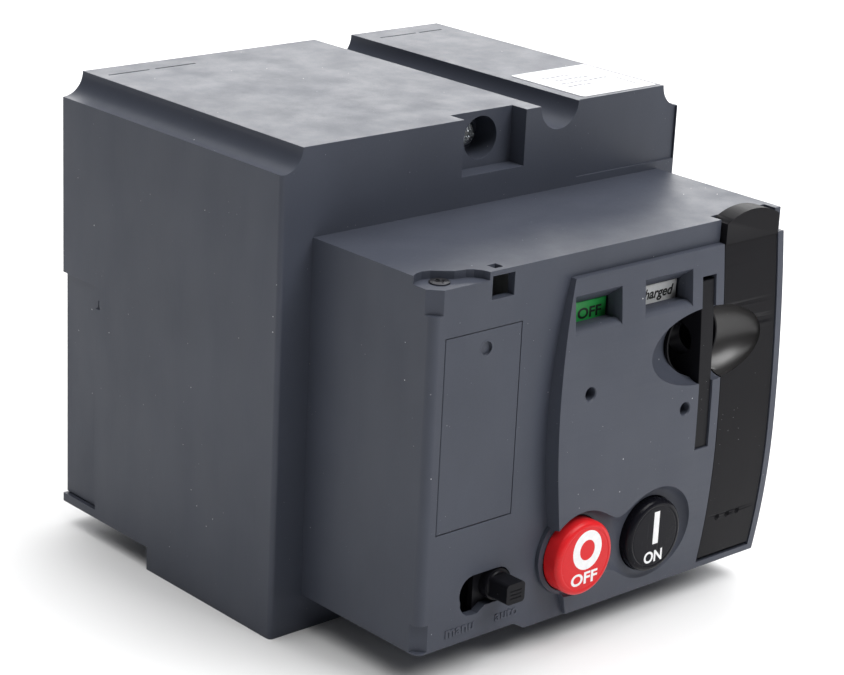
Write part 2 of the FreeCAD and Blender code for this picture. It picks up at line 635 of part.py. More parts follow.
def charging_lever():
    x = ("lever_left + lever_gap", "lever_right - lever_gap")
    face = crown(x, ("lever_low", "lever_high"), "0.2", "cover_front - 1")
    body = box(x, ("-cover_front + 1", "-lever_back"), ("lever_low", "lever_high"))
    arch = rod("y", "-cap_front", "-cap_back", "(lever_left + lever_right) / 2",
               "cap_high - cap_arch", "cap_arch")
    cap = common(box(x, ("-cap_front", "-cap_back"), ("lever_high", "cap_high + 1")), arch)
    block = box(x, ("-lever_back", "-scoop_back"), ("well_block_low", "well_block_high"))
    hub = rod("x", *x, "-lever_pin_y", "lever_pin_z", "lever_hub")
    lug = box(("link_right + 0.4", "link_right + 3.4"), ("-lever_back", "-lug_y"),
              ("lever_pin_z - 2.5", "lever_pin_z + 4.5"))
    arm_y, arm_z = "-lever_pin_y + arm", "lever_pin_z + arm_rise"
    dots = [rod("y", "-60", "-cover_front - 2.6", f"dot_x + {step} * dot_pitch", "dot_z",
                "dot_radius") for step in range(3)]
    tools = [
        box((f"{x[0]} + lever_skin", f"{x[1]} - lever_skin"),
            ("-cover_front - crest + 3.4", "-lever_back + 1"), ("30", "well_block_low - 1.5")),
        box((f"{x[0]} + lever_skin", f"{x[1]} - lever_skin"),
            ("-cover_front - crest + 4.4", "-lever_back + 1"), ("well_block_high + 1.5", "97")),
        dish(),
        rod("x", "lever_left - 1", "lever_right + 1", "-lever_pin_y", "lever_pin_z",
            "lever_pin + running"),
        rod("x", "link_right - 1", "link_right + 5", arm_y, arm_z, "link_pin"),
        *dots,
    ]
    node(cut(fuse(face, body, cap, block, hub, lug), *tools), "charging_lever")


def push_button(label, x, z, front):
    """A mushroom-headed button turned about its own axis."""
    body = doc.addObject("PartDesign::Body", "Body")
    drawing = sketch(body, "XY_Plane", row_z(z))
    near, shoulder = f"-({front})", f"-({front}) + button_round"
    rear = f"-({front}) + button_thick"
    profile = [("0", near), ("button_radius - button_round", near), ("button_radius", shoulder),
               ("button_radius", rear), ("stem", rear), ("stem", "-stem_end"),
               ("nose", "-stem_end"), ("nose", "-nose_end"), ("0", "-nose_end")]
    draw_polygon(drawing, [(f"({x}) + {across}", row_y(along)) for across, along in profile])
    axis = drawing.addGeometry(Part.LineSegment(
        FreeCAD.Vector(value(x), value(row_y(near)), 0),
        FreeCAD.Vector(value(x), value(row_y("-nose_end")), 0)), True)
    drawing.addConstraint(Sketcher.Constraint("Coincident", axis, 1, 0, 1))
    drawing.addConstraint(Sketcher.Constraint("Coincident", axis, 2, 8, 1))
    turned = body.newObject("PartDesign::Revolution", "Turned")
    turned.Profile = drawing
    turned.ReferenceAxis = (drawing, ["Axis0"])
    turned.Angle = 360.0
    node(body, label)


def button_guide():
    outline = [("-25", "14.6"), ("32.4", "14.6"), ("32.4", "40"), ("-25", "40")]
    holes = [("-off_x", "off_z", "stem + running"), ("on_x", "on_z", "stem + running")]
    node(pad_xz("button_guide", "-guide_front", "-guide_back", outline, holes), "button_guide")


def coil_spring(label, start, end, first, second, radius, wire, turns, axis):
    """A helical spring swept along a helix."""
    helix = doc.addObject("Part::Helix", "Helix")
    bind(helix, Radius=radius, Height=f"({end}) - ({start}) - 2 * ({wire}) - 0.2",
         Pitch=f"(({end}) - ({start}) - 2 * ({wire}) - 0.2) / ({turns})")
    low = f"({start}) + ({wire}) + 0.1"
    helix.Placement = FreeCAD.Placement(FreeCAD.Vector(), AXIS_TURN[axis])
    places = {"y": (first, low, second), "z": (first, second, low)}
    put(helix, *places[axis])
    section = doc.addObject("Part::Circle", "Wire")
    bind(section, Radius=wire)
    doc.recompute()
    curve = helix.Shape.Edges[0]
    begin = curve.valueAt(curve.FirstParameter)
    heading = curve.tangentAt(curve.FirstParameter)
    section.Placement = FreeCAD.Placement(begin, FreeCAD.Rotation(FreeCAD.Vector(0, 0, 1), heading))
    swept = doc.addObject("Part::Sweep", "Coil")
    swept.Sections = [section]
    swept.Spine = (helix, [])
    swept.Solid = True
    swept.Frenet = True
    return swept if label is None else node(swept, label)


def button_springs():
    for label, x, z, front in (("off_button_spring", "-off_x", "off_z", "off_front"),
                               ("on_button_spring", "on_x", "on_z", "on_front")):
        coil_spring(label, f"-({front}) + button_thick", "-guide_front", x, z, "button_coil",
                    "button_wire", "4", "y")


def mode_selector():
    hub = rod("y", "-cover_front - 0.6", "-cover_front + skin + 0.1", "-select_x", "select_z", "hub")
    key = box(("-select_x - key_wide / 2", "-select_x + key_wide / 2"),
              ("-key_front", "-cover_front"), ("select_z - key_high / 2", "select_z + key_high / 2"))
    slider = box(("-select_x - slider_half", "-select_x + slider_half"),
                 ("-cover_front + skin + 0.1", "-cover_front + skin + 0.1 + slider_thick"),
                 ("select_z - slider_half", "select_z + slider_half"))
    node(fuse(hub, key, slider), "mode_selector")


# ---------------------------------------------------------------- mechanism frame

def frame_plates():
    outline = [("-frame_front", "frame_low"), ("frame_back", "frame_low"),
               ("frame_back", "frame_high"), ("frame_step", "frame_high"),
               ("frame_step", "frame_front_high"), ("-frame_front", "frame_front_high")]
    inner, outer = "frame_half", "frame_half + frame_plate"
    idler_y, idler_z = idler_place()
    motor_y, motor_z = motor_place()
    shared = [("cam_y", "cam_z", "bush_out"), ("-latch_y", "latch_z", "latch_pin")]
    left = pad_yz("left_frame_plate", f"-({outer})", f"-({inner})", outline,
                  shared + [("rocker_y", "rocker_z", "rocker_pin")])
    right = pad_yz("right_frame_plate", inner, outer, outline,
                   shared + [(motor_y, motor_z, "motor_shaft + 2.5"),
                             (idler_y, idler_z, "axle + 1"),
                             (*HOLD_PAWL_PIN, "pawl_pin")])
    node(left, "left_frame_plate")
    node(right, "right_frame_plate")


PILLARS = [("-2", "19.5"), ("70", "20"), ("12", "106"), ("72", "106")]


def pillars_and_screws():
    inner, outer = "frame_half", "frame_half + frame_plate"
    bars = [rod("x", f"-{inner}", inner, y, z, "pillar") for y, z in PILLARS]
    node(group(*bars), "frame_pillars")
    screws = []
    for y, z in PILLARS:
        screws.append(rod("x", outer, f"{outer} + frame_screw_deep", y, z, "frame_screw"))
        screws.append(rod("x", f"-({outer}) - frame_screw_deep", f"-({outer})", y, z,
                          "frame_screw"))
    node(group(*screws), "frame_screws")


def guide_rods():
    feet = []
    for z in ("frame_low + 1", "frame_high - 4"):
        bar = box(("-frame_half", "frame_half"), ("rod_y - 4.5", "rod_y + 4.5"),
                  (z, f"{z} + foot"))
        feet.append(bar)
    holes = [rod("z", "0", "height", side, "rod_y", "rod") for side in ("-rod_x", "rod_x")]
    node(cut(group(*feet), *holes), "rod_brackets")
    rods = [rod("z", "frame_low + 1", "frame_high - 4 + foot", side, "rod_y", "rod")
            for side in ("-rod_x", "rod_x")]
    node(group(*rods), "guide_rods")


def toggle_carriage():
    low, high = "carriage_z - carriage_half", "carriage_z + carriage_half"
    front, back = "carriage_y", "carriage_y + carriage_deep"
    block = box(("-carriage_x", "carriage_x"), (front, back), (low, high))
    tools = [box(("-socket_half", "socket_half"), (f"{front} - 1", f"{back} + 1"),
                 ("carriage_z - socket_high", "carriage_z + socket_high"))]
    for side in ("-rod_x", "rod_x"):
        tools.append(rod("z", f"{low} - 1", f"{high} + 1", side, "rod_y", "bush"))
    slot = ("-rocker_left - 0.4", "-rocker_right + 0.4")
    tools.append(box(slot, (f"{front} - 1", f"{front} + 9"),
                     ("carriage_z - rocker_tip - 0.35", "carriage_z + rocker_tip + 0.35")))
    tools.append(box(slot, (f"{front} - 1", f"{front} + 2.4"), (f"{low} - 1", f"{high} + 1")))
    node(cut(block, *tools), "toggle_carriage")
    sleeves = []
    for side in ("-rod_x", "rod_x"):
        sleeve = rod("z", low, high, side, "rod_y", "bush")
        bore = rod("z", f"{low} - 1", f"{high} + 1", side, "rod_y", "rod + running")
        sleeves.append(cut(sleeve, bore))
    node(group(*sleeves), "carriage_bushes")


def closing_springs():
    coils = []
    for side in ("-rod_x", "rod_x"):
        coils.append(coil_spring(None, "frame_low + 1 + foot", "carriage_z - carriage_half", side,
                                 "rod_y", "spring_coil", "spring_wire", "spring_turns", "z"))
    node(group(*coils), "closing_springs")


def rocker():
    """The lever that a cam tips to draw the carriage down; its tail carries the cam roller."""
    tip_y, tip_z = "carriage_y + 3.5", "carriage_z"
    run_y = value(tip_y) - value("rocker_y")
    run_z = value(tip_z) - value("rocker_z")
    length = math.hypot(run_y, run_z)
    tail_y = f"rocker_y - tail * {run_y / length}"
    tail_z = f"rocker_z - tail * {run_z / length}"
    x = ("-rocker_left", "-rocker_right")
    pivot = ("rocker_y", "rocker_z")
    arm = capsule("rocker_bar", *x, pivot, (tip_y, tip_z), "rocker_half", [])
    tip = rod("x", *x, tip_y, tip_z, "rocker_tip")
    tail = capsule("rocker_tail", *x, pivot, (tail_y, tail_z), "tail_half", [])
    hub = rod("x", *x, *pivot, "rocker_hub")
    pin = rod("x", "-rocker_right", "-cam_right", tail_y, tail_z, "roller_pin")
    bore = rod("x", "-40", "0", *pivot, "rocker_pin + running")
    node(cut(fuse(arm, tip, tail, hub, pin), bore), "rocker_arm")
    roller = rod("x", "-cam_left", "-cam_right - 0.2", tail_y, tail_z, "roller")
    hole = rod("x", "-40", "0", tail_y, tail_z, "roller_pin + running")
    node(cut(roller, hole), "cam_roller")


# ---------------------------------------------------------------- drive train

def idler_place():
    reach = value("module") * (GEARS["main"] + GEARS["idler_pinion"]) / 2
    return (f"cam_y + {reach * math.cos(IDLER_ANGLE)}", f"cam_z + {reach * math.sin(IDLER_ANGLE)}")


def motor_place():
    reach = value("module") * (GEARS["idler_wheel"] + GEARS["pinion"]) / 2
    y, z = idler_place()
    return (f"{y} + {reach * math.cos(MOTOR_ANGLE)}", f"{z} + {reach * math.sin(MOTOR_ANGLE)}")


def gear(teeth, turn, low, high, y, z, bore):
    """A spur gear along x, with involute flanks thinned for backlash."""
    size = value("module")
    pitch_radius = size * teeth / 2
    base_radius = pitch_radius * math.cos(PRESSURE_ANGLE)
    tip_radius = pitch_radius + 0.9 * size
    root_radius = pitch_radius - 1.2 * size
    at_pitch = math.tan(PRESSURE_ANGLE) - PRESSURE_ANGLE
    half_tooth = math.pi / (2 * teeth) - BACKLASH / (2 * pitch_radius)
    start_radius = max(base_radius, root_radius)
    flank = []
    for step in range(6):
        radius = start_radius + (tip_radius - start_radius) * step / 5
        roll = math.acos(min(1.0, base_radius / radius))
        flank.append((radius, half_tooth + at_pitch - (math.tan(roll) - roll)))
    if start_radius > root_radius + 0.01:
        flank.insert(0, (root_radius, flank[0][1]))
    points = []
    for tooth in range(teeth):
        middle = 2 * math.pi * tooth / teeth + turn
        points += [(radius, middle - half) for radius, half in flank]
        points += [(radius, middle + half) for radius, half in reversed(flank)]
    return disc(points, low, high, y, z, bore)


def disc(points, low, high, y, z, bore):
    """A flat piece along x from an outline in polar points, with a round bore."""
    corners = [FreeCAD.Vector(0, r * math.cos(a), r * math.sin(a)) for r, a in points]
    face = Part.Face(Part.makePolygon(corners + corners[:1]))
    feature = doc.addObject("Part::Feature", "Toothed")
    feature.Shape = face.extrude(FreeCAD.Vector(value(f"({high}) - ({low})"), 0, 0))
    place = FreeCAD.Vector(value(low), value(row_y(y)), value(row_z(z)))
    feature.Placement = FreeCAD.Placement(place, FreeCAD.Rotation())
    return cut(feature, rod("x", f"({low}) - 1", f"({high}) + 1", y, z, bore))


def mesh_turn(teeth, other_teeth, other_turn, angle):
    """The turn that puts a gap of one gear where the other's tooth points, along an angle."""
    phase = (angle - other_turn) * other_teeth / (2 * math.pi)
    tooth_offset = (phase - round(phase)) * 2 * math.pi / other_teeth
    facing = angle + math.pi + tooth_offset * other_teeth / teeth
    return facing + math.pi / teeth


def drive_train():
    idler_y, idler_z = idler_place()
    motor_y, motor_z = motor_place()
    small_turn = mesh_turn(GEARS["idler_pinion"], GEARS["main"], 0.0, IDLER_ANGLE)
    pinion_turn = mesh_turn(GEARS["pinion"], GEARS["idler_wheel"], 0.0, MOTOR_ANGLE)
    node(gear(GEARS["main"], 0.0, "gear_left", "gear_right", "cam_y", "cam_z", "shaft"),
         "main_gear")
    wheel = gear(GEARS["idler_wheel"], 0.0, "ratchet_left", "ratchet_right", idler_y, idler_z,
                 "axle + 1 + running")
    small = gear(GEARS["idler_pinion"], small_turn, "gear_left", "ratchet_left", idler_y,
                 idler_z, "axle + 1 + running")
    node(fuse(wheel, small), "idler_gear")
    pinion = gear(GEARS["pinion"], pinion_turn, "ratchet_left - 0.3", "ratchet_right + 0.3",
                  motor_y, motor_z, "motor_shaft - 0.5")
    spindle = rod("x", "frame_half + 0.2", "ratchet_right + 0.3", motor_y, motor_z,
                  "motor_shaft")
    node(fuse(pinion, spindle), "motor_pinion")
    gear_pins = [rod("x", "frame_half", "ratchet_right + 0.2", idler_y, idler_z, "axle + 1"),
                 rod("x", "frame_half", "ratchet_right + 0.2", *HOLD_PAWL_PIN, "pawl_pin")]
    node(group(*gear_pins), "gear_pins")
    node(rod("x", "-frame_half - frame_plate - 0.5", "carrier_right + 0.2", "cam_y", "cam_z",
             "shaft"), "cam_shaft")
    bushes = []
    for low, high in (("-frame_half - frame_plate", "-frame_half"),
                      ("frame_half", "frame_half + frame_plate")):
        ring = rod("x", low, high, "cam_y", "cam_z", "bush_out")
        bore = rod("x", f"({low}) - 1", f"({high}) + 1", "cam_y", "cam_z", "shaft + running")
        bushes.append(cut(ring, bore))
    node(group(*bushes), "shaft_bushes")


def motor():
    motor_y, motor_z = motor_place()
    can = rod("x", "-motor_left", "frame_half - 3", motor_y, motor_z, "motor_radius")
    flange = rod("x", "frame_half - 3", "frame_half", motor_y, motor_z, "motor_radius - 2")
    node(fuse(can, flange), "motor_can")
    cap = rod("x", "-motor_left - 4", "-motor_left", motor_y, motor_z, "motor_radius - 1")
    node(cap, "motor_end_cap")


def charging_crank():
    """The crank on the cam shaft that pushes the rocker's roller round to load the springs."""
    centre = ("cam_y", "cam_z")
    tip = (f"cam_y + crank * {math.cos(CRANK_ANGLE)}", f"cam_z + crank * {math.sin(CRANK_ANGLE)}")
    bar = capsule("crank_bar", "-cam_left", "-cam_right", centre, tip, "crank_half", [])
    hub = rod("x", "-cam_left", "-cam_right", *centre, "crank_hub")
    bore = rod("x", "-cam_left - 1", "-cam_right + 1", *centre, "shaft")
    node(cut(fuse(bar, hub), bore), "charging_crank")


def ratchet_wheel():
    points = []
    for tooth in range(RATCHET_TEETH):
        angle = 2 * math.pi * tooth / RATCHET_TEETH
        points.append((value("ratchet"), angle))
        points.append((value("ratchet_root"), angle))
    node(disc(points, "ratchet_left", "ratchet_right", "cam_y", "cam_z", "shaft"),
         "ratchet_wheel")


def hand_drive():
    """The link, carrier and pawl through which the lever turns the ratchet wheel."""
    arm_at_lever = ("-lever_pin_y + arm", "lever_pin_z + arm_rise")
    arm_at_shaft = ("cam_y + arm", "cam_z + arm_rise")
    bar = capsule("link_bar", "link_left", "link_right", arm_at_lever, arm_at_shaft, "link_half",
                  [(*arm_at_lever, "link_pin + running"), (*arm_at_shaft, "link_pin + running")])
    node(bar, "lever_link")
    node(rod("x", "link_left - 0.2", "link_right + 3.4", *arm_at_lever, "link_pin"),
         "lever_link_pin")
    hub = rod("x", "carrier_left", "carrier_right", "cam_y", "cam_z", "shaft + 3")
    lobe = rod("x", "carrier_left", "carrier_right", *arm_at_shaft, "link_end")
    pawl_y, pawl_z = "cam_y", "cam_z - pawl_reach - 3"
    arm = box(("carrier_left", "carrier_right"), ("cam_y - 3", "cam_y + 3"), (pawl_z, "cam_z"))
    bore = rod("x", "carrier_left - 1", "carrier_right + 1", "cam_y", "cam_z", "shaft + running")
    stud = rod("x", "carrier_right", "link_right + 0.3", *arm_at_shaft, "link_pin")
    peg = rod("x", "ratchet_left", "carrier_left", pawl_y, f"({pawl_z}) + 2", "pawl_pin")
    node(cut(fuse(hub, lobe, arm, stud, peg), bore), "pawl_carrier")


def drive_pawl():
    """The pawl on the carrier's peg, whose toe rests just off the ratchet wheel's teeth."""
    y, z = "cam_y", "(cam_z - pawl_reach - 1)"
    outline = [(f"{y} - 2.2", f"{z} - 1.8"), (f"{y} + 2.2", f"{z} - 1.8"),
               (f"{y} + 5.5", f"{z} + 1.6"), (f"{y} + 4", f"{z} + 2"),
               (f"{y} - 2.2", f"{z} + 1.7")]
    body = pad_yz("drive_pawl", "ratchet_left + 0.3", "ratchet_right - 0.3", outline,
                  [(y, z, "pawl_pin + running")])
    node(body, "drive_pawl")


def hold_pawl():
    """The pawl, pinned to the frame plate, that holds the ratchet wheel between strokes."""
    bar = capsule("pawl_bar", "ratchet_left + 0.3", "ratchet_right - 0.3", HOLD_PAWL_PIN,
                  HOLD_PAWL_TOE, "pawl_half", [(*HOLD_PAWL_PIN, "pawl_pin + running")])
    node(bar, "hold_pawl")


# ---------------------------------------------------------------- latches, coils, indicators

def latches():
    pivot = ("-latch_y", "latch_z")
    hub = rod("x", "-closing_coil_x - arm_half", "on_x + arm_half", *pivot, "latch_hub")
    arms = []
    for middle in ("-closing_coil_x", "on_x"):
        arms.append(box((f"{middle} - arm_half", f"{middle} + arm_half"),
                        ("-latch_face", "-latch_face + 2.5"), ("plunger_z - 3", "latch_z")))
        arms.append(box((f"{middle} - arm_half", f"{middle} + arm_half"),
                        ("-latch_face", "-latch_y"), ("latch_z - 1.5", "latch_z + 1.5")))
    hook = pad_yz("hook", "-rocker_left", "-rocker_right",
                  [("-latch_y - 1.5", "latch_z"), ("-latch_y + 1.5", "latch_z"),
                   ("9", "latch_z + 27"), ("11", "latch_z + 34.5"), ("7", "latch_z + 35")])
    bore = rod("x", "-40", "40", *pivot, "latch_pin + running")
    node(cut(fuse(hub, *arms, hook), bore), "closing_latch")
    trip = ("-latch_y", "trip_z + 6")
    trip_hub = rod("x", "-off_x - arm_half", "opening_coil_x + arm_half", *trip, "latch_hub")
    trip_arms = [box((f"{middle} - arm_half", f"{middle} + arm_half"),
                     ("-latch_face", "-latch_face + 2.5"), ("trip_z + 4", "plunger_z + 3"))
                 for middle in ("-off_x", "opening_coil_x")]
    trip_feet = [box((f"{middle} - arm_half", f"{middle} + arm_half"), ("-latch_face", "-latch_y"),
                     ("trip_z + 4", "trip_z + 7")) for middle in ("-off_x", "opening_coil_x")]
    trip_bore = rod("x", "-40", "40", *trip, "latch_pin + running")
    node(cut(fuse(trip_hub, *trip_arms, *trip_feet), trip_bore), "opening_latch")
    pins = [rod("x", "-frame_half - frame_plate", "frame_half + frame_plate", *pivot, "latch_pin"),
            rod("x", "-frame_half", "frame_half", *trip, "latch_pin"),
            rod("x", "-frame_half - frame_plate", "-rocker_right + 0.6", "rocker_y", "rocker_z",
                "rocker_pin")]
    node(group(*pins), "pivot_pins")


def coils():
    for label, x in (("closing_coil", "-closing_coil_x"), ("opening_coil", "opening_coil_x")):
        block = box((f"{x} - coil_half", f"{x} + coil_half"), ("-coil_front", "-coil_back"),
                    ("coil_low", "coil_high"))
        bore = rod("y", "-coil_front + 3", "-coil_back + 1", x, "plunger_z", "plunger + running")
        node(cut(block, bore), label)
        plunger = rod("y", "-coil_front + 3.5", "-latch_face - 0.3", x, "plunger_z", "plunger")
        node(plunger, label.replace("coil", "plunger"))


def indicators():
    for label, left, right in (("position_drum", "-off_flag_left - 1", "off_flag_right + 1"),
                               ("charge_drum", "charge_flag_left - 1", "charge_flag_right + 1")):
        barrel = rod("x", left, right, "-drum_y", "drum_z", "drum")
        keep = pad_yz("sector", left, right,
                      [("-drum_y + 2", "drum_z - 2"), ("-drum_y - 9", "drum_z - 9"),
                       ("-drum_y - 9", "drum_z + 9"), ("-drum_y + 2", "drum_z + 9")])
        hub = rod("x", left, right, "-drum_y", "drum_z", "axle + 1")
        bore = rod("x", f"({left}) - 1", f"({right}) + 1", "-drum_y", "drum_z", "axle + running")
        node(cut(fuse(common(barrel, keep), hub), bore), label)
    node(rod("x", "-off_flag_left - 3.5", "charge_flag_right + 3.4", "-drum_y", "drum_z",
             "axle"), "indicator_axle")
    node(rod("x", "bearing_left", "cover_right - 0.5", "-lever_pin_y", "lever_pin_z",
             "lever_pin"), "lever_pin")


# ---------------------------------------------------------------- electrics

def electrics():
    node(box(("-board_x", "-board_x + board_thick"), ("board_y", "board_y + board_long"),
             ("board_low", "board_high")), "control_board")
    relays = []
    for step in range(3):
        low = f"board_low + 6 + {step} * (relay_long + 6)"
        relays.append(box(("-board_x + board_thick", "-board_x + board_thick + relay_high"),
                          ("board_y + 10", "board_y + 10 + relay_wide"),
                          (low, f"{low} + relay_long")))
    capacitor = rod("x", "-board_x + board_thick", "-board_x + board_thick + 20", "board_y + 46",
                    "board_low + 30", "9")
    node(group(*relays, capacitor), "board_parts")
    block = box(("-block_x", "-block_x + block_wide"), ("block_y", "block_y + block_deep"),
                ("block_low", "block_high"))
    ways = []
    screws = []
    for step in range(7):
        z = f"block_low + 4 + {step} * way_pitch"
        ways.append(rod("x", "-block_x - 1", "-block_x + 6", "block_y + block_deep / 2", z,
                        "way_radius"))
        screws.append(rod("x", "-block_x + 4.5", "-block_x + 6", "block_y + block_deep / 2", z,
                          "way_radius - 0.2"))
    node(cut(block, *ways), "terminal_block")
    node(group(*screws), "terminal_screws")
    switches = []
    for y, z in (("-24", "30"), ("60", "86"), ("60", "30")):
        switches.append(box(("-frame_half - frame_plate - switch_wide", "-frame_half - frame_plate"),
                            (y, f"{y} + switch_long"), (z, f"{z} + switch_high")))
    node(group(*switches), "microswitches")


rear_housing()
side_covers()
blank_label()
fixing_screw()
rear_plate()
front_cover()
keylock_blank()
fascia_plate()
cover_screw()
padlock_tab()
charging_lever()
push_button("off_button", "-off_x", "off_z", "off_front")
push_button("on_button", "on_x", "on_z", "on_front")
button_guide()
button_springs()
mode_selector()
frame_plates()
pillars_and_screws()
guide_rods()
toggle_carriage()
closing_springs()
rocker()
drive_train()
motor()
charging_crank()
ratchet_wheel()
hand_drive()
drive_pawl()
hold_pawl()
latches()
coils()
indicators()
electrics()

doc.recompute()
faulty = [item.Label for item in doc.Objects if {"Invalid", "Error"} & set(item.State)]
for item in NODES:
    if item.Shape.isNull() or not item.Shape.isValid() or not item.Shape.Solids:
        faulty.append(item.Label)
if faulty:
    raise RuntimeError(f"not built: {faulty}")

os.makedirs("parts", exist_ok=True)
for item in NODES:
    item.Shape.exportStep(f"parts/{item.Label}.step")
print(f"{len(NODES)} nodes written")
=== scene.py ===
"""Looks of a motor operator that clamps on the front of a moulded-case circuit breaker.

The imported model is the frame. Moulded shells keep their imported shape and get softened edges
and a finish; the front's crowned pieces, buttons, flags, screws and lettering are made here.
Shapes are made in the module's own millimetres: x from its middle, y backwards from the joint
between front cover and rear housing, z up from its base. AHEAD lies in front of the whole
module and WITHIN behind the front's own pieces, so a cutter between them goes right through.
A turned profile starts and ends at the radius CORE, where a small face closes it.
"""
import logging
import math
from dataclasses import dataclass
from enum import Enum
from typing import Iterable, Sequence

import bmesh
import bpy
from mathutils import Matrix, Vector


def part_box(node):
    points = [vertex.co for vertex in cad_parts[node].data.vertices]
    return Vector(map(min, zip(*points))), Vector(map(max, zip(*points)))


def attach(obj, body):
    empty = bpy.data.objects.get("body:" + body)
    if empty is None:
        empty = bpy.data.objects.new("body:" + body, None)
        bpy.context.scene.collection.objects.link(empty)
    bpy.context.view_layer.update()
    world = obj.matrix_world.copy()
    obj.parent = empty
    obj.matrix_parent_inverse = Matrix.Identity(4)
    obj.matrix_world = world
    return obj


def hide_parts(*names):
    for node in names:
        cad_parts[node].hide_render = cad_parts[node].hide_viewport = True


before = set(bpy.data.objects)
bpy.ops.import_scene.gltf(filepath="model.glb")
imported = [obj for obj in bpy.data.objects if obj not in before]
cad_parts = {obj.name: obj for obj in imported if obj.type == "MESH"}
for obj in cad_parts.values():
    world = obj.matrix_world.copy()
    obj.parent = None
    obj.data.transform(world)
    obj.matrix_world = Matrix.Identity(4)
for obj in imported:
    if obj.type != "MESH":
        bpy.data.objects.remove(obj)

LOG = logging.getLogger("motor_operator")
MM = 0.001
AHEAD = -60.0
WITHIN = -30.0
CORE = 0.01

Point2 = tuple[float, float]
Point3 = tuple[float, float, float]
Colour = tuple[float, float, float]


# ------------------------------------------------------------------ measures

class Axis(Enum):
    """The three directions that an outline is drawn out along."""

    X = "x"
    Y = "y"
    Z = "z"

    def point(self, along: float, first: float, second: float) -> Vector:
        """Return a place from its distance along this axis and its other two coordinates.

        Args:
            along: The coordinate along the axis.
            first: The first of the other two.
            second: The second of them.

        Returns:
            The place.
        """
        if self is Axis.X:
            return Vector((along, first, second))
        if self is Axis.Y:
            return Vector((first, along, second))
        return Vector((first, second, along))


class Work(Enum):
    """The ways that one blank is combined with another."""

    CUT = "DIFFERENCE"
    JOIN = "UNION"
    MEET = "INTERSECT"


@dataclass(frozen=True)
class Datum:
    """Where the module's own measures lie in the frame, in metres."""

    joint: float
    base: float

    @classmethod
    def of_frame(cls) -> "Datum":
        """Read the joint plane and the base from the rear housing."""
        low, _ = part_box("rear_housing")
        return cls(low.y, low.z)

    def matrix(self) -> Matrix:
        """Return the change from the module's millimetres to the frame's metres."""
        return Matrix.Translation((0.0, self.joint, self.base)) @ Matrix.Scale(MM, 4)


@dataclass(frozen=True)
class Crown:
    """The bulge of the front: two arcs that meet at the crest."""

    flat: float = 45.2
    crest_height: float = 47.0
    crest: float = 4.6
    upper_radius: float = 501.0
    lower_radius: float = 211.0

    def proud(self, height: float) -> float:
        """Return how far the crown stands out of the flat front.

        Args:
            height: The height above the base.

        Returns:
            The distance in millimetres.
        """
        radius = self.upper_radius if height > self.crest_height else self.lower_radius
        rise = height - self.crest_height
        return self.crest - (radius - math.sqrt(radius * radius - rise * rise))

    def surface(self, height: float, sunk: float = 0.0) -> float:
        """Return the crown's y at a height, sunk back by a distance."""
        return -self.flat - self.proud(height) + sunk

    def profile(self, low: float, high: float, back: float, sunk: float = 0.0,
                steps: int = 150) -> list[Point2]:
        """Return the outline, as (y, z), of a slice of the crown.

        Args:
            low: Height of the slice's lower end.
            high: Height of its upper end.
            back: The y of its flat back.
            sunk: How far its front lies behind the crown.
            steps: Number of spans along the front.

        Returns:
            The outline's points, in order.
        """
        front = [low + (high - low) * step / steps for step in range(steps + 1)]
        return [(self.surface(z, sunk), z) for z in front] + [(back, high), (back, low)]


CROWN = Crown()


# ------------------------------------------------------------------ mesh work

def arc(centre: Point2, radius: float, start: float, end: float, steps: int = 16) -> list[Point2]:
    """Return points on an arc, between two angles in degrees."""
    turns = [math.radians(start + (end - start) * step / steps) for step in range(steps + 1)]
    return [(centre[0] + radius * math.cos(a), centre[1] + radius * math.sin(a)) for a in turns]


def ring(centre: Point2, radius: float, steps: int = 64, squash: float = 1.0) -> list[Point2]:
    """Return a circle, or an ellipse whose second half-axis is squash times its radius."""
    turns = [2 * math.pi * step / steps for step in range(steps)]
    return [(centre[0] + radius * math.cos(a), centre[1] + radius * squash * math.sin(a))
            for a in turns]


def rounded(corners: Sequence[Point3], steps: int = 6) -> list[Point2]:
    """Return a polygon with round corners.

    Args:
        corners: Each corner's two coordinates and its radius, in order.
        steps: Number of spans in each round corner.

    Returns:
        The outline's points.
    """
    points: list[Point2] = []
    count = len(corners)
    for index, (u, v, radius) in enumerate(corners):
        here = Vector((u, v))
        if radius <= 0:
            points.append((u, v))
            continue
        to_last = (Vector(corners[index - 1][:2]) - here).normalized()
        to_next = (Vector(corners[(index + 1) % count][:2]) - here).normalized()
        half = to_last.angle(to_next) / 2
        reach = radius / math.tan(half)
        middle = here + (to_last + to_next).normalized() * (radius / math.sin(half))
        start = here + to_last * reach - middle
        end = here + to_next * reach - middle
        for step in range(steps + 1):
            share = step / steps
            spoke = start.slerp(end, share) if start.length > 0 else start
            points.append(tuple(middle + spoke))
    return points


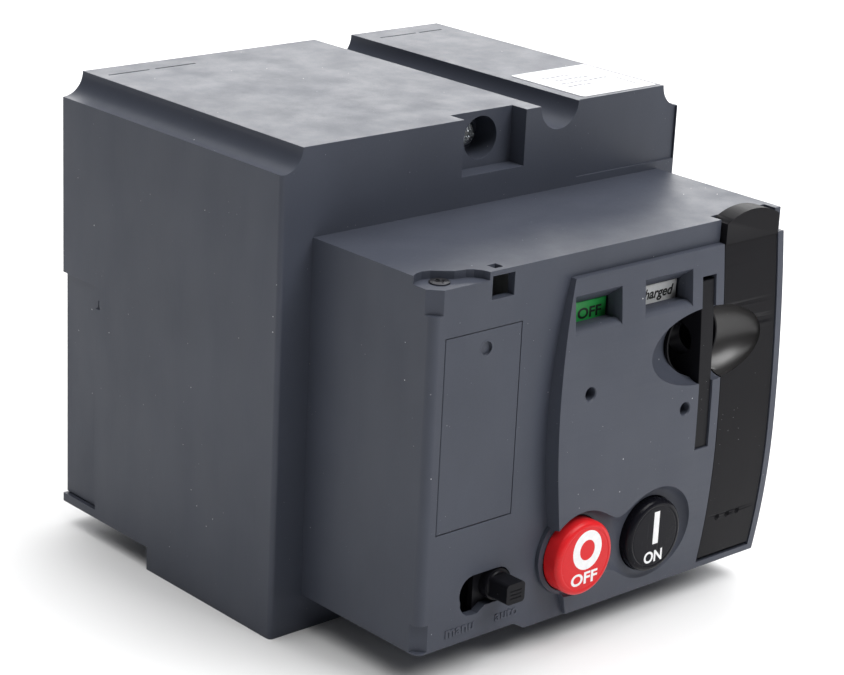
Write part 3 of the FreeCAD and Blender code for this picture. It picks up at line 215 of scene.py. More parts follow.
class Blank:
    """A closed mesh being worked on, in the module's millimetres."""

    def __init__(self, loops: Sequence[Sequence[Vector]], closed_ends: bool = True) -> None:
        """Skin a row of equal loops.

        Args:
            loops: The loops, in order.
            closed_ends: Whether the first and last loop are closed by a face.
        """
        mesh = bpy.data.meshes.new("blank")
        work = bmesh.new()
        rows = [[work.verts.new(point) for point in loop] for loop in loops]
        for row, following in zip(rows, rows[1:]):
            for index in range(len(row)):
                other = (index + 1) % len(row)
                work.faces.new((row[index], row[other], following[other], following[index]))
        if closed_ends:
            work.faces.new(list(reversed(rows[0])))
            work.faces.new(rows[-1])
        else:
            for index in range(len(rows[0])):
                other = (index + 1) % len(rows[0])
                work.faces.new((rows[-1][index], rows[-1][other], rows[0][other], rows[0][index]))
        bmesh.ops.recalc_face_normals(work, faces=work.faces)
        work.to_mesh(mesh)
        work.free()
        self.item = bpy.data.objects.new("blank", mesh)
        bpy.context.scene.collection.objects.link(self.item)

    @classmethod
    def prism(cls, outline: Sequence[Point2], low: float, high: float, axis: Axis) -> "Blank":
        """Draw an outline out along an axis, between two places."""
        return cls([[axis.point(along, u, v) for u, v in outline] for along in (low, high)])

    @classmethod
    def box(cls, x: Point2, y: Point2, z: Point2) -> "Blank":
        """Make a box from three pairs, low and high."""
        return cls.prism([(x[0], z[0]), (x[1], z[0]), (x[1], z[1]), (x[0], z[1])], *y, Axis.Y)

    @classmethod
    def turned(cls, profile: Sequence[Point2], centre: Point2, axis: Axis,
               steps: int = 96) -> "Blank":
        """Turn a profile about an axis.

        Args:
            profile: Pairs of radius and place along the axis, from end to end.
            centre: The axis's other two coordinates.
            axis: The axis's direction.
            steps: Number of spans round the turn.

        Returns:
            The turned blank.
        """
        return cls([[axis.point(along, u, v) for u, v in ring(centre, radius, steps)]
                    for radius, along in profile])

    @classmethod
    def bowl(cls, centre: Sequence[float], half: Sequence[float], steps: int = 64) -> "Blank":
        """Make an ellipsoid.

        Args:
            centre: Its middle.
            half: Its three half-sizes.
            steps: Number of spans round it, and from end to end.

        Returns:
            The ellipsoid, with a small flat at each end.
        """
        loops = []
        for step in range(1, steps):
            tilt = math.pi * step / steps
            reach = math.sin(tilt)
            loops.append([Vector((centre[0] + half[0] * reach * math.cos(2 * math.pi * n / steps),
                                  centre[1] - half[1] * math.cos(tilt),
                                  centre[2] + half[2] * reach * math.sin(2 * math.pi * n / steps)))
                          for n in range(steps)])
        return cls(loops)

    def _apply(self, kind: str, **settings: object) -> "Blank":
        """Work one modifier into the mesh.

        Args:
            kind: The modifier's type.
            **settings: Its settings, by name.

        Returns:
            This blank.
        """
        modifier = self.item.modifiers.new("step", kind)
        for name, setting in settings.items():
            setattr(modifier, name, setting)
        graph = bpy.context.evaluated_depsgraph_get()
        mesh = bpy.data.meshes.new_from_object(self.item.evaluated_get(graph))
        old = self.item.data
        self.item.modifiers.clear()
        self.item.data = mesh
        bpy.data.meshes.remove(old)
        return self

    def _with(self, others: Iterable["Blank"], work: Work) -> "Blank":
        """Combine this blank with others, which are used up.

        Args:
            others: The other blanks.
            work: How they are combined.

        Returns:
            This blank.
        """
        for other in others:
            self._apply("BOOLEAN", operation=work.value, solver="EXACT", object=other.item)
            bpy.data.objects.remove(other.item)
        return self

    def cut(self, *others: "Blank") -> "Blank":
        """Take others away from this blank."""
        return self._with(others, Work.CUT)

    def join(self, *others: "Blank") -> "Blank":
        """Add others to this blank."""
        return self._with(others, Work.JOIN)

    def meet(self, *others: "Blank") -> "Blank":
        """Keep what this blank shares with others."""
        return self._with(others, Work.MEET)

    def soften(self, width: float, steps: int = 3, least: float = 35.0) -> "Blank":
        """Round the edges that turn by more than an angle.

        Args:
            width: The rounding's width.
            steps: Number of spans across it.
            least: The smallest turn that is rounded, in degrees.

        Returns:
            This blank.
        """
        work = bmesh.new()
        work.from_mesh(self.item.data)
        bmesh.ops.remove_doubles(work, verts=work.verts, dist=0.0005)
        bmesh.ops.dissolve_limit(work, angle_limit=math.radians(0.03), verts=work.verts,
                                 edges=work.edges, delimit={"NORMAL"})
        work.to_mesh(self.item.data)
        work.free()
        return self._apply("BEVEL", width=width, segments=steps, limit_method="ANGLE",
                           angle_limit=math.radians(least), use_clamp_overlap=True,
                           miter_outer="MITER_ARC")

    def finish(self, name: str, finish: "Finish", body: str, slot: str,
               replaced: Sequence[str] = (), smooth: float = 34.0,
               flat_strips: bool = False) -> bpy.types.Object:
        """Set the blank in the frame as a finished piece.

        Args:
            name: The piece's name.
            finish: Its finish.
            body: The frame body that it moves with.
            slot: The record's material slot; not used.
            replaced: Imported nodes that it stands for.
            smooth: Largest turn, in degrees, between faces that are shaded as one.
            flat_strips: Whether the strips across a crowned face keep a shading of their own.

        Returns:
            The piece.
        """
        mesh = self.item.data
        # a strip across a crown has no lean along x and is narrow
        across, broad = 1e-3, 150.0
        smoothed = [not flat_strips or abs(face.normal.x) > across or face.area > broad
                    for face in mesh.polygons]
        mesh.polygons.foreach_set("use_smooth", smoothed)
        mesh.set_sharp_from_angle(angle=math.radians(smooth))
        self._apply("WEIGHTED_NORMAL", mode="FACE_AREA", keep_sharp=True)
        piece = self.item
        piece.data.transform(Datum.of_frame().matrix())
        return settle(piece, name, finish, body, replaced)


def settle(piece: bpy.types.Object, name: str, finish: "Finish", body: str,
           replaced: Sequence[str] = ()) -> bpy.types.Object:
    """Name, dress and attach a piece that is in its place.

    Args:
        piece: The piece.
        name: The name that it gets.
        finish: Its finish.
        body: The frame body that it moves with.
        replaced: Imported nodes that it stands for.

    Returns:
        The piece.
    """
    piece.name = name
    piece.data.name = name
    piece.data.materials.clear()
    piece.data.materials.append(finish.material())
    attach(piece, body)
    if replaced:
        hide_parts(*replaced)
    LOG.info("made %s", name)
    return piece


# ------------------------------------------------------------------ finishes

class Graph:
    """A thin wrapper round a material's nodes."""

    def __init__(self, name: str) -> None:
        """Start a material with a principled shader.

        Args:
            name: The material's name.
        """
        self.material = bpy.data.materials.new(name)
        self.material.use_nodes = True
        self.tree = self.material.node_tree
        self.shader = self.tree.nodes["Principled BSDF"]

    def add(self, kind: str, settings: dict[str, object] | None = None,
            **inputs: object) -> bpy.types.Node:
        """Add a node.

        Args:
            kind: The node's type.
            settings: The node's own settings, by name.
            **inputs: What its sockets get; an underscore stands for a space in a name.

        Returns:
            The node.
        """
        node = self.tree.nodes.new(kind)
        for name, setting in (settings or {}).items():
            setattr(node, name, setting)
        for name, source in inputs.items():
            self.feed(node.inputs[name.replace("_", " ")], source)
        return node

    def feed(self, socket: bpy.types.NodeSocket, source: object) -> None:
        """Link a socket to another, or set its value.

        Args:
            socket: The socket that is fed.
            source: Another socket, or a value.
        """
        if isinstance(source, bpy.types.NodeSocket):
            self.tree.links.new(source, socket)
        else:
            socket.default_value = source

    def place(self) -> bpy.types.NodeSocket:
        """Return the piece's own coordinates, in metres."""
        return self.add("ShaderNodeTexCoord").outputs["Object"]

    def noise(self, size: float, detail: float = 2.0, rough: float = 0.5,
              stretch: Point3 = (1, 1, 1)) -> bpy.types.NodeSocket:
        """Return noise.

        Args:
            size: The features' size in millimetres.
            detail: Number of finer layers.
            rough: Strength of the finer layers.
            stretch: Scale along each axis; less than 1 draws the features out.

        Returns:
            The noise's factor.
        """
        mapping = self.add("ShaderNodeMapping", Vector=self.place(), Scale=stretch)
        node = self.add("ShaderNodeTexNoise", Vector=mapping.outputs[0], Scale=1 / (size * MM),
                        Detail=detail, Roughness=rough)
        return node.outputs["Fac"]

    def span(self, source: bpy.types.NodeSocket, low: float, high: float,
             start: float = 0.3, end: float = 0.7) -> bpy.types.NodeSocket:
        """Map one range of a factor onto another, held at both ends.

        Args:
            source: The factor.
            low: What the range's start becomes.
            high: What its end becomes.
            start: The range's start.
            end: The range's end.

        Returns:
            The mapped factor.
        """
        node = self.add("ShaderNodeMapRange", Value=source)
        node.inputs["From Min"].default_value = start
        node.inputs["From Max"].default_value = end
        node.inputs["To Min"].default_value = low
        node.inputs["To Max"].default_value = high
        return node.outputs["Result"]

    def blend(self, factor: object, first: object, second: object) -> bpy.types.NodeSocket:
        """Mix two colours.

        Args:
            factor: Share of the second colour.
            first: The first colour.
            second: The second colour.

        Returns:
            The mixed colour.
        """
        node = self.add("ShaderNodeMix", {"data_type": "RGBA"})
        self.feed(node.inputs[0], factor)
        self.feed(node.inputs[6], first)
        self.feed(node.inputs[7], second)
        return node.outputs[2]

    def sum(self, first: object, second: object, operation: str = "ADD") -> bpy.types.NodeSocket:
        """Combine two numbers.

        Args:
            first: The first number.
            second: The second number.
            operation: The sum that is done.

        Returns:
            The result.
        """
        node = self.add("ShaderNodeMath", {"operation": operation})
        self.feed(node.inputs[0], first)
        self.feed(node.inputs[1], second)
        return node.outputs[0]

    def specks(self, cell: float, size: float) -> bpy.types.NodeSocket:
        """Return a mask of sparse round specks, of a size among cells, in millimetres."""
        node = self.add("ShaderNodeTexVoronoi", Vector=self.place(), Scale=1 / (cell * MM))
        return self.span(node.outputs["Distance"], 1.0, 0.0, size / cell * 0.5, size / cell * 0.6)

    def bump(self, heights: Sequence[tuple[bpy.types.NodeSocket, float]]) -> None:
        """Stack height maps into the normal.

        Args:
            heights: Each map, with its depth in millimetres.
        """
        normal = None
        for height, depth in heights:
            node = self.add("ShaderNodeBump", Height=height, Distance=depth * MM)
            if normal is not None:
                self.tree.links.new(normal, node.inputs["Normal"])
            normal = node.outputs["Normal"]
        self.tree.links.new(normal, self.shader.inputs["Normal"])


def grey(colour: Colour, factor: float) -> tuple[float, float, float, float]:
    """Return a colour scaled by a factor, with its alpha."""
    return (*(min(1.0, part * factor) for part in colour), 1.0)


class Finish:
    """Something a piece can be dressed in; its material is made once."""

    name: str
    _made: dict[str, bpy.types.Material] = {}

    def material(self) -> bpy.types.Material:
        """Return this finish's material, made the first time.

        Returns:
            The material.
        """
        if self.name not in Finish._made:
            graph = Graph(self.name)
            self.paint(graph)
            Finish._made[self.name] = graph.material
        return Finish._made[self.name]

    def paint(self, graph: Graph) -> None:
        """Fill in the material's nodes.

        Args:
            graph: The material's nodes.
        """
        raise NotImplementedError


@dataclass(frozen=True)
class Moulded(Finish):
    """Moulded plastic: fine spark-eroded grain, faint mottling, dust and handling marks."""

    name: str
    colour: Colour
    roughness: float = 0.46
    grain: float = 0.32
    grain_depth: float = 0.006
    dust: float = 0.32
    dusty: bool = True
    gloss: float = 0.24
    handled: float = 1.0

    def paint(self, graph: Graph) -> None:
        """Fill in the material's nodes.

        Args:
            graph: The material's nodes.
        """
        grain = graph.noise(self.grain, 3.0, 0.6)
        cloud = graph.noise(26.0, 4.0, 0.55)
        smear = graph.noise(9.0, 3.0, 0.6, (1.0, 1.0, 0.35))
        scratch = graph.noise(0.5, 1.0, 0.4, (1.0, 1.0, 0.04))
        base = graph.blend(graph.span(cloud, 0.0, 1.0), grey(self.colour, 0.93),
                           grey(self.colour, 1.07))
        base = graph.blend(graph.span(grain, 0.0, 0.3), base, grey(self.colour, 1.25))
        if self.dusty:
            fleck = graph.sum(graph.specks(4.6, self.dust),
                              graph.span(graph.noise(31.0), 0.0, 1.0, 0.45, 0.62), "MULTIPLY")
            lint = graph.sum(graph.specks(2.1, 0.16),
                             graph.span(graph.noise(17.0), 0.0, 1.0, 0.5, 0.66), "MULTIPLY")
            base = graph.blend(graph.sum(fleck, 0.85, "MULTIPLY"), base, (0.62, 0.63, 0.64, 1.0))
            base = graph.blend(graph.sum(lint, 0.6, "MULTIPLY"), base, (0.45, 0.46, 0.48, 1.0))
        rough = graph.sum(graph.span(smear, -0.05 * self.handled, 0.06 * self.handled),
                          graph.span(scratch, 0.0, 0.05, 0.6, 0.75))
        graph.feed(graph.shader.inputs["Base Color"], base)
        graph.feed(graph.shader.inputs["Roughness"], graph.sum(rough, self.roughness))
        graph.shader.inputs["Specular IOR Level"].default_value = self.gloss
        graph.bump([(grain, self.grain_depth), (cloud, 0.02)])


@dataclass(frozen=True)
class Metal(Finish):
    """Bare or plated metal, with a brushed direction, stains and fine scratches."""

    name: str
    colour: Colour
    roughness: float = 0.32
    brush: Point3 = (1.0, 1.0, 0.06)
    stain: float = 0.18

    def paint(self, graph: Graph) -> None:
        """Fill in the material's nodes.

        Args:
            graph: The material's nodes.
        """
        brushed = graph.noise(0.16, 2.0, 0.6, self.brush)
        stains = graph.noise(7.0, 5.0, 0.65)
        base = graph.blend(graph.span(stains, 0.0, 1.0), grey(self.colour, 1.0 - self.stain),
                           grey(self.colour, 1.08))
        graph.feed(graph.shader.inputs["Base Color"], base)
        graph.shader.inputs["Metallic"].default_value = 1.0
        rough = graph.sum(graph.span(brushed, -0.07, 0.08), graph.span(stains, 0.06, -0.04))
        graph.feed(graph.shader.inputs["Roughness"], graph.sum(rough, self.roughness))
        graph.bump([(brushed, 0.003)])


@dataclass(frozen=True)
class Printed(Finish):
    """Ink or printed film: an even colour, slightly mottled, with a soft gloss."""

    name: str
    colour: Colour
    roughness: float = 0.4

    def paint(self, graph: Graph) -> None:
        """Fill in the material's nodes.

        Args:
            graph: The material's nodes.
        """
        mottle = graph.noise(1.6, 3.0, 0.6)
        fibre = graph.noise(0.12, 2.0, 0.5)
        graph.feed(graph.shader.inputs["Base Color"],
                   graph.blend(graph.span(mottle, 0.0, 1.0), grey(self.colour, 0.94),
                               grey(self.colour, 1.04)))
        graph.feed(graph.shader.inputs["Roughness"],
                   graph.sum(graph.span(mottle, -0.04, 0.05), self.roughness))
        graph.bump([(fibre, 0.002)])


SHELL = Moulded("slate_moulding", (0.050, 0.056, 0.075), 0.45)
FASCIA = Moulded("slate_fascia", (0.056, 0.062, 0.082), 0.45, grain=0.26, grain_depth=0.004)
BLACK = Moulded("black_moulding", (0.007, 0.007, 0.009), 0.36, grain=0.24, grain_depth=0.003,
                dust=0.26, gloss=0.1, handled=0.3)
SCOOP = Moulded("black_scoop", (0.02, 0.019, 0.0195), 0.34, grain=0.3, grain_depth=0.008,
                gloss=0.6, handled=0.3)
RED = Moulded("red_button_plastic", (0.62, 0.016, 0.02), 0.3, grain=0.5, grain_depth=0.002,
              dust=0.2, gloss=0.2, handled=0.4)
JET = Moulded("black_button_plastic", (0.006, 0.006, 0.009), 0.24, grain=0.5,
              grain_depth=0.0015, dust=0.2, gloss=0.1, handled=0.3)
LEVER = Moulded("lever_moulding", (0.0075, 0.0073, 0.009), 0.46, grain=0.24, grain_depth=0.003,
                dust=0.3, gloss=0.09, handled=0.35)
BLACKED = Metal("black_oxide", (0.07, 0.07, 0.078), 0.4, (1.0, 1.0, 1.0))
WHITE_INK = Printed("white_ink", (0.86, 0.86, 0.87), 0.42)
BLACK_INK = Printed("black_ink", (0.012, 0.012, 0.014), 0.45)
GREY_INK = Printed("grey_ink", (0.2, 0.21, 0.23), 0.5)
GREEN_FILM = Printed("green_film", (0.03, 0.42, 0.09), 0.38)
WHITE_FILM = Printed("white_film", (0.84, 0.85, 0.86), 0.5)
# the label's white, dimmed below the flags' white film as painted shade that tones down the
# brightly lit roof
LABEL_FILM_SHADED = Printed("label_film_painted_shade", (0.6, 0.605, 0.62), 0.52)
ZINC = Metal("zinc_plate", (0.72, 0.74, 0.76), 0.26)
GALVANISED = Metal("galvanised_sheet", (0.56, 0.57, 0.58), 0.38, (1.0, 1.0, 1.0), 0.25)
STEEL = Metal("ground_steel", (0.5, 0.5, 0.5), 0.26, (0.06, 1.0, 1.0))
SPRING = Metal("oiled_spring_steel", (0.3, 0.3, 0.31), 0.3)
BRONZE = Metal("sintered_bronze", (0.55, 0.36, 0.2), 0.42, (1.0, 1.0, 1.0))
ACETAL = Moulded("natural_acetal", (0.72, 0.71, 0.66), 0.4, grain=0.5, dusty=False)
BOARD = Moulded("solder_mask", (0.01, 0.11, 0.04), 0.25, grain=0.9, grain_depth=0.002,
                dusty=False)
RELAY = Moulded("relay_case", (0.03, 0.07, 0.2), 0.35, dusty=False)
TERMINAL = Moulded("terminal_grey", (0.42, 0.43, 0.4), 0.45, dusty=False)
COIL_TAPE = Moulded("coil_tape", (0.5, 0.16, 0.03), 0.3, grain=0.8, grain_depth=0.01,
                    dusty=False)
CAN_PAINT = Moulded("motor_paint", (0.03, 0.03, 0.033), 0.35, grain=1.2, grain_depth=0.008,
                    dusty=False)

NODE_FINISHES: dict[Finish, tuple[str, ...]] = {
    SHELL: ("rear_housing", "front_cover", "left_side_cover", "right_side_cover",
            "keylock_blank"),
    BLACK: ("button_guide", "microswitches", "motor_end_cap"),
    ZINC: ("lever_pin", "frame_pillars", "frame_screws",
           "lever_link", "pawl_carrier", "closing_latch", "opening_latch", "closing_plunger",
           "opening_plunger", "terminal_screws"),
    GALVANISED: ("rear_plate", "left_frame_plate", "right_frame_plate", "rod_brackets"),
    STEEL: ("guide_rods", "rocker_arm", "cam_roller", "pivot_pins", "gear_pins", "main_gear",
            "idler_gear", "cam_shaft", "charging_crank", "ratchet_wheel", "lever_link_pin",
            "drive_pawl", "hold_pawl", "indicator_axle"),
    SPRING: ("closing_springs", "off_button_spring", "on_button_spring"),
    BRONZE: ("carriage_bushes", "shaft_bushes", "motor_pinion"),
    ACETAL: ("toggle_carriage",),
    BOARD: ("control_board",),
    RELAY: ("board_parts",),
    TERMINAL: ("terminal_block",),
    COIL_TAPE: ("closing_coil", "opening_coil"),
    CAN_PAINT: ("motor_can",),
}
SOFT_EDGES = {"rear_housing": 0.55, "front_cover": 0.45, "left_side_cover": 0.3,
              "right_side_cover": 0.3, "keylock_blank": 0.22, "toggle_carriage": 0.4,
              "rear_plate": 0.15}


def dress_nodes() -> None:
    """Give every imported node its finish, and the moulded ones soft edges."""
    for finish, names in NODE_FINISHES.items():
        for name in names:
            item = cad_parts[name]
            item.data.materials.clear()
            item.data.materials.append(finish.material())
            if name in SOFT_EDGES:
                soften_node(item, SOFT_EDGES[name])
    LOG.info("dressed %d nodes", sum(len(names) for names in NODE_FINISHES.values()))


def soften_node(item: bpy.types.Object, width: float) -> None:
    """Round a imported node's edges with modifiers, which leave its mesh as it is.

    Args:
        item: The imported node.
        width: The rounding's width in millimetres.
    """
    weld = item.modifiers.new("weld", "WELD")
    weld.merge_threshold = 0.002 * MM
    flat = item.modifiers.new("flat", "DECIMATE")
    flat.decimate_type = "DISSOLVE"
    flat.angle_limit = math.radians(0.2)
    bevel = item.modifiers.new("soft_edges", "BEVEL")
    bevel.width = width * MM
    bevel.segments = 3
    bevel.limit_method = "ANGLE"
    bevel.angle_limit = math.radians(35.0)
    normals = item.modifiers.new("normals", "WEIGHTED_NORMAL")
    normals.keep_sharp = True


# ------------------------------------------------------------------ front

@dataclass
class Fascia:
    """The crowned plate on the cover: flag windows, button recess, tab slot and finger well."""

    low: float = 8.4
    high: float = 100.3
    left: float = -20.7
    right: float = 62.7
    bow: float = 148.0
    bow_centre: Point2 = (128.3, 62.0)
    lever_x: Point2 = (39.4, 60.5)
    lever_z: Point2 = (10.2, 108.3)
    tab_x: Point2 = (31.2, 36.4)
    tab_z: Point2 = (45.7, 93.0)
    tab_back: float = -31.0
    windows: tuple[Point2, ...] = ((-14.9, 1.5), (9.9, 27.5))
    window_low: float = 84.9
    window_high: float = 96.5
    sill: Point2 = (85.3, 86.9)
    sill_back: float = -42.5
    sill_front: float = -45.4
    sill_round: Point2 = (3.2, 2.3)
    roof: tuple[Point2, ...] = ((-48.2, 96.5), (-42.0, 91.4))
    peg_holes: tuple[Point2, ...] = ((-9.1, 69.8), (26.3, 58.4))
    peg_radius: float = 1.75
    peg_floor: float = -45.8
    pad_x: Point2 = (12.0, 39.2)
    pad_z: Point2 = (62.0, 84.2)
    pad_back: float = -41.0
    dish_centre: Point3 = (33.7, -49.0, 74.4)
    dish_half: Point3 = (20.9, 7.5, 10.3)
    well: Point2 = (33.7, 74.4)
    well_radius: float = 9.6
    shade_liner_skin: float = 0.5
    shade_liner_front: float = -43.6
    edge: float = 0.28

    def build(self) -> None:
        """Make the plate and the black ring of painted shade inside its finger well."""
        front = -CROWN.flat
        plate = Blank.prism(CROWN.profile(self.low, self.high, front), self.left, self.right,
                            Axis.X)
        plate.meet(Blank.prism(ring(self.bow_centre, self.bow, 360), AHEAD, -40.0, Axis.Y))
        plate.join(Blank.box(self.pad_x, (front - 0.5, self.pad_back), self.pad_z))
        for window in self.windows:
            plate.join(Blank.box(window, (front - 0.4, self.sill_back), self.sill))
        plate.cut(Blank.box(self.lever_x, (AHEAD, 0.0), self.lever_z))
        for left, right in self.windows:
            plate.cut(self.window_tool(left, right))
        buttons = PushButtons()
        plate.cut(buttons.recess_tool())
        for centre in buttons.centres:
            plate.cut(Blank.prism(ring(centre, buttons.bore(), 128), AHEAD, WITHIN, Axis.Y))
        plate.cut(Blank.box(self.tab_x, (AHEAD, self.tab_back), self.tab_z))
        plate.cut(Blank.prism(ring(self.well, self.well_radius, 128), AHEAD, WITHIN, Axis.Y))
        plate.cut(self.dish_tool())
        for x, z in self.peg_holes:
            plate.cut(self.peg_tool(x, z))
        plate.soften(self.edge)
        plate.finish("fascia", FASCIA, "body", "fascia_plastic", ("fascia_plate",))
        self.well_shade_liner()

    def well_shade_liner(self) -> None:
        """Put a black ring inside the finger well, painted shade for the well's dark depth, open
        where the tab passes.
        """
        # painted shade: a thin black skin just inside the well's slate wall, standing in for the
        # dark of the deep bore
        outer, inner = self.well_radius - 0.02, self.well_radius - self.shade_liner_skin
        liner = Blank.prism(ring(self.well, outer, 96), self.shade_liner_front, self.pad_back, Axis.Y)
        liner.cut(Blank.prism(ring(self.well, inner, 96), AHEAD, WITHIN, Axis.Y))
        left, right = self.tab_x
        liner.cut(Blank.box((left - 0.1, right + 0.1), (AHEAD, self.tab_back), self.tab_z))
        liner.finish("well_shade_liner", BLACK, "body", "black_plastic")

    def window_tool(self, left: float, right: float) -> Blank:
        """Return the cutter of a flag window: a sloped roof and a rolled sill.

        Args:
            left: The window's left side.
            right: Its right side.

        Returns:
            The cutter.
        """
        deep, tall = self.sill_round
        lip = [(self.sill_front + deep * u, self.window_low + tall * v)
               for u, v in arc((0.0, 0.0), 1.0, 90.0, 180.0, 10)]
        inner_high, inner_low = self.roof[-1][1], self.window_low + tall
        outline = [(AHEAD, self.window_high), *self.roof, (WITHIN, inner_high),
                   (WITHIN, inner_low), *lip, (AHEAD, self.window_low)]
        return Blank.prism(outline, left, right, Axis.X)

    def dish_tool(self) -> Blank:
        """Return the cutter of the finger dish, which crosses the lever too."""
        return Blank.bowl(self.dish_centre, self.dish_half)

    def peg_tool(self, x: float, z: float) -> Blank:
        """Return the cutter of a small round hole with a broken edge.

        Args:
            x: The hole's place across the module.
            z: Its height.

        Returns:
            The cutter.
        """
        lip, radius = CROWN.surface(z), self.peg_radius
        profile = [(radius + 1.25, lip - 1.0), (radius + 0.3, lip - 0.05), (radius, lip + 0.25),
                   (radius, self.peg_floor)]
        return Blank.turned(profile, (x, z), Axis.Y, 48)


@dataclass
class PushButtons:
    """The OFF and ON buttons, their lettering and the recess that they share."""

    centres: tuple[Point2, Point2] = ((-8.8, 25.5), (19.05, 24.2))
    stems: tuple[Point2, Point2] = ((-9.0, 26.0), (17.7, 25.0))
    fronts: Point2 = (-51.2, -49.4)
    radius: float = 10.1
    thick: float = 5.2
    rim: float = 1.5
    gap: float = 0.3
    stem: float = 4.0
    stem_end: float = -24.8
    nose: float = 1.0
    nose_end: float = -20.8
    floor: float = -46.4
    floor_radii: Point2 = (10.5, 10.9)
    wall_out: float = 2.9
    wall_deep: float = 3.6
    wall_turn: float = 84.0
    off_share: float = 0.62
    waist: float = 4.6
    collar: float = 11.75
    collar_y: Point2 = (-46.3, -44.6)
    ink: Point2 = (-0.06, 0.2)
    ring_off: Point2 = (0.5, 2.4)
    ring_radii: Point2 = (5.1, 2.65)
    ring_squash: float = 1.05
    bar_x: Point2 = (-0.85, 1.15)
    bar_z: Point2 = (-2.2, 6.9)

    def bore(self) -> float:
        """Return the radius of the hole round a button's head."""
        return self.radius + self.gap

    def middle(self) -> Point2:
        """Return the recess's middle, halfway between the buttons."""
        (x0, z0), (x1, z1) = self.centres
        return (x0 + x1) / 2, (z0 + z1) / 2

    def recess_reach(self, angle: float, spread: float) -> float:
        """Return how far the recess runs from its middle, along a direction.

        Args:
            angle: The direction, in radians.
            spread: How far the outline lies outside the floor's outline.

        Returns:
            The distance in millimetres.
        """
        (x0, z0), (x1, z1) = self.centres
        middle = self.middle()
        off_floor, on_floor = self.floor_radii
        low, high, halvings = 2.0, 45.0, 40
        for _ in range(halvings):
            reach = (low + high) / 2
            x = middle[0] + reach * math.cos(angle)
            z = middle[1] + reach * math.sin(angle)
            off = math.hypot(x - x0, z - z0) - off_floor - spread * self.off_share
            on = math.hypot(x - x1, z - z1) - on_floor - spread
            joined = math.exp(-off / self.waist) + math.exp(-on / self.waist)
            if -self.waist * math.log(joined) < 0:
                low = reach
            else:
                high = reach
        return low

    def recess_tool(self) -> Blank:
        """Return the cutter of the recess: a bowl-shaped wall round a peanut outline.

        Returns:
            The cutter, whose last loop stands well in front of the wall.
        """
        middle = self.middle()
        loops = []
        levels, steps, ahead = 12, 180, 9.0
        for level in range(levels + 2):
            lean = math.radians(self.wall_turn) * min(1.0, level / levels)
            spread = self.wall_out * math.sin(lean)
            along = self.floor - self.wall_deep * (1 - math.cos(lean))
            if level > levels:
                along -= ahead
            loop = []
            for step in range(steps):
                angle = 2 * math.pi * step / steps
                reach = self.recess_reach(angle, spread)
                loop.append(Vector((middle[0] + reach * math.cos(angle), along,
                                    middle[1] + reach * math.sin(angle))))
            loops.append(loop)
        return Blank(loops)

    def build(self) -> None:
        """Make both buttons, their collars and their marks."""
        off, on = self.centres
        off_stem, on_stem = self.stems
        off_front, on_front = self.fronts
        self.button("off_button_shape", RED, off, off_stem, off_front, "off_button", "red_plastic")
        self.button("on_button_shape", JET, on, on_stem, on_front, "on_button", "black_button")
        for name, centre, stem in (("off_collar", off, off_stem), ("on_collar", on, on_stem)):
            collar = Blank.prism(ring(stem, self.collar, 96), *self.collar_y, Axis.Y)
            collar.cut(Blank.prism(ring(centre, self.bore(), 96), AHEAD, WITHIN, Axis.Y))
            collar.finish(name, SHELL, "body", "housing_plastic")
        self.off_marks(*off, off_front)
        self.on_marks(*on, on_front)

    def off_marks(self, x: float, z: float, front: float) -> None:
        """Print the ring and the word on the OFF button.

        Args:
            x: The head's middle, across the module.
            z: Its height.
            front: The y of its face.
        """
        under, over = self.ink
        middle = (x + self.ring_off[0], z + self.ring_off[1])
        outer, inner = self.ring_radii
        mark = Blank.prism(ring(middle, outer, 96, self.ring_squash), front + under,
                           front + over, Axis.Y)
        mark.cut(Blank.prism(ring(middle, inner, 96, self.ring_squash), AHEAD, -40.0, Axis.Y))
        mark.finish("off_ring_mark", WHITE_INK, "off_button", "label_white")
        Lettering("OFF", 3.3, 0.16).build("off_word", WHITE_INK, (x, front, z - 5.3),
                                          "off_button", "label_white", width=9.4)

    def on_marks(self, x: float, z: float, front: float) -> None:
        """Print the bar and the word on the ON button.

        Args:
            x: The head's middle, across the module.
            z: Its height.
            front: The y of its face.
        """
        under, over = self.ink
        bar = Blank.box((x + self.bar_x[0], x + self.bar_x[1]), (front + under, front + over),
                        (z + self.bar_z[0], z + self.bar_z[1]))
        bar.finish("on_bar_mark", WHITE_INK, "on_button", "label_white")
        Lettering("ON", 3.3, 0.16).build("on_word", WHITE_INK, (x - 0.3, front, z - 5.7),
                                         "on_button", "label_white", width=6.8)

    def button(self, name: str, finish: "Finish", centre: Point2, stem: Point2, front: float,
               node: str, slot: str) -> None:
        """Turn one button: a flat face, a rolled rim and a skirt, with its stem behind.

        Args:
            name: The piece's name.
            finish: The moulding's finish.
            centre: Middle of the head.
            stem: Middle of the stem.
            front: The y of its face.
            node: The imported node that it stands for.
            slot: The record's material slot.
        """
        rim, reach, rear = self.rim, self.radius, front + self.thick
        roll = [(reach - rim + rim * math.sin(a), front + rim - rim * math.cos(a))
                for a in (math.radians(90) * n / 8 for n in range(9))]
        profile = [(CORE, front), (reach - 2.3, front), (reach - 2.05, front + 0.12),
                   (reach - 1.75, front + 0.12), (reach - 1.52, front)] + roll
        profile += [(reach, rear - 0.3), (reach - 0.3, rear), (CORE, rear)]
        head = Blank.turned(profile, centre, Axis.Y, 128)
        bevel = 0.3
        shank = [(CORE, rear - 1.5), (self.stem, rear - 1.5), (self.stem, self.stem_end),
                 (self.stem - bevel, self.stem_end + bevel), (self.nose, self.stem_end + bevel),
                 (self.nose, self.nose_end), (CORE, self.nose_end)]
        head.join(Blank.turned(shank, stem, Axis.Y, 48))
        head.finish(name, finish, node, slot, (node,), smooth=50.0)


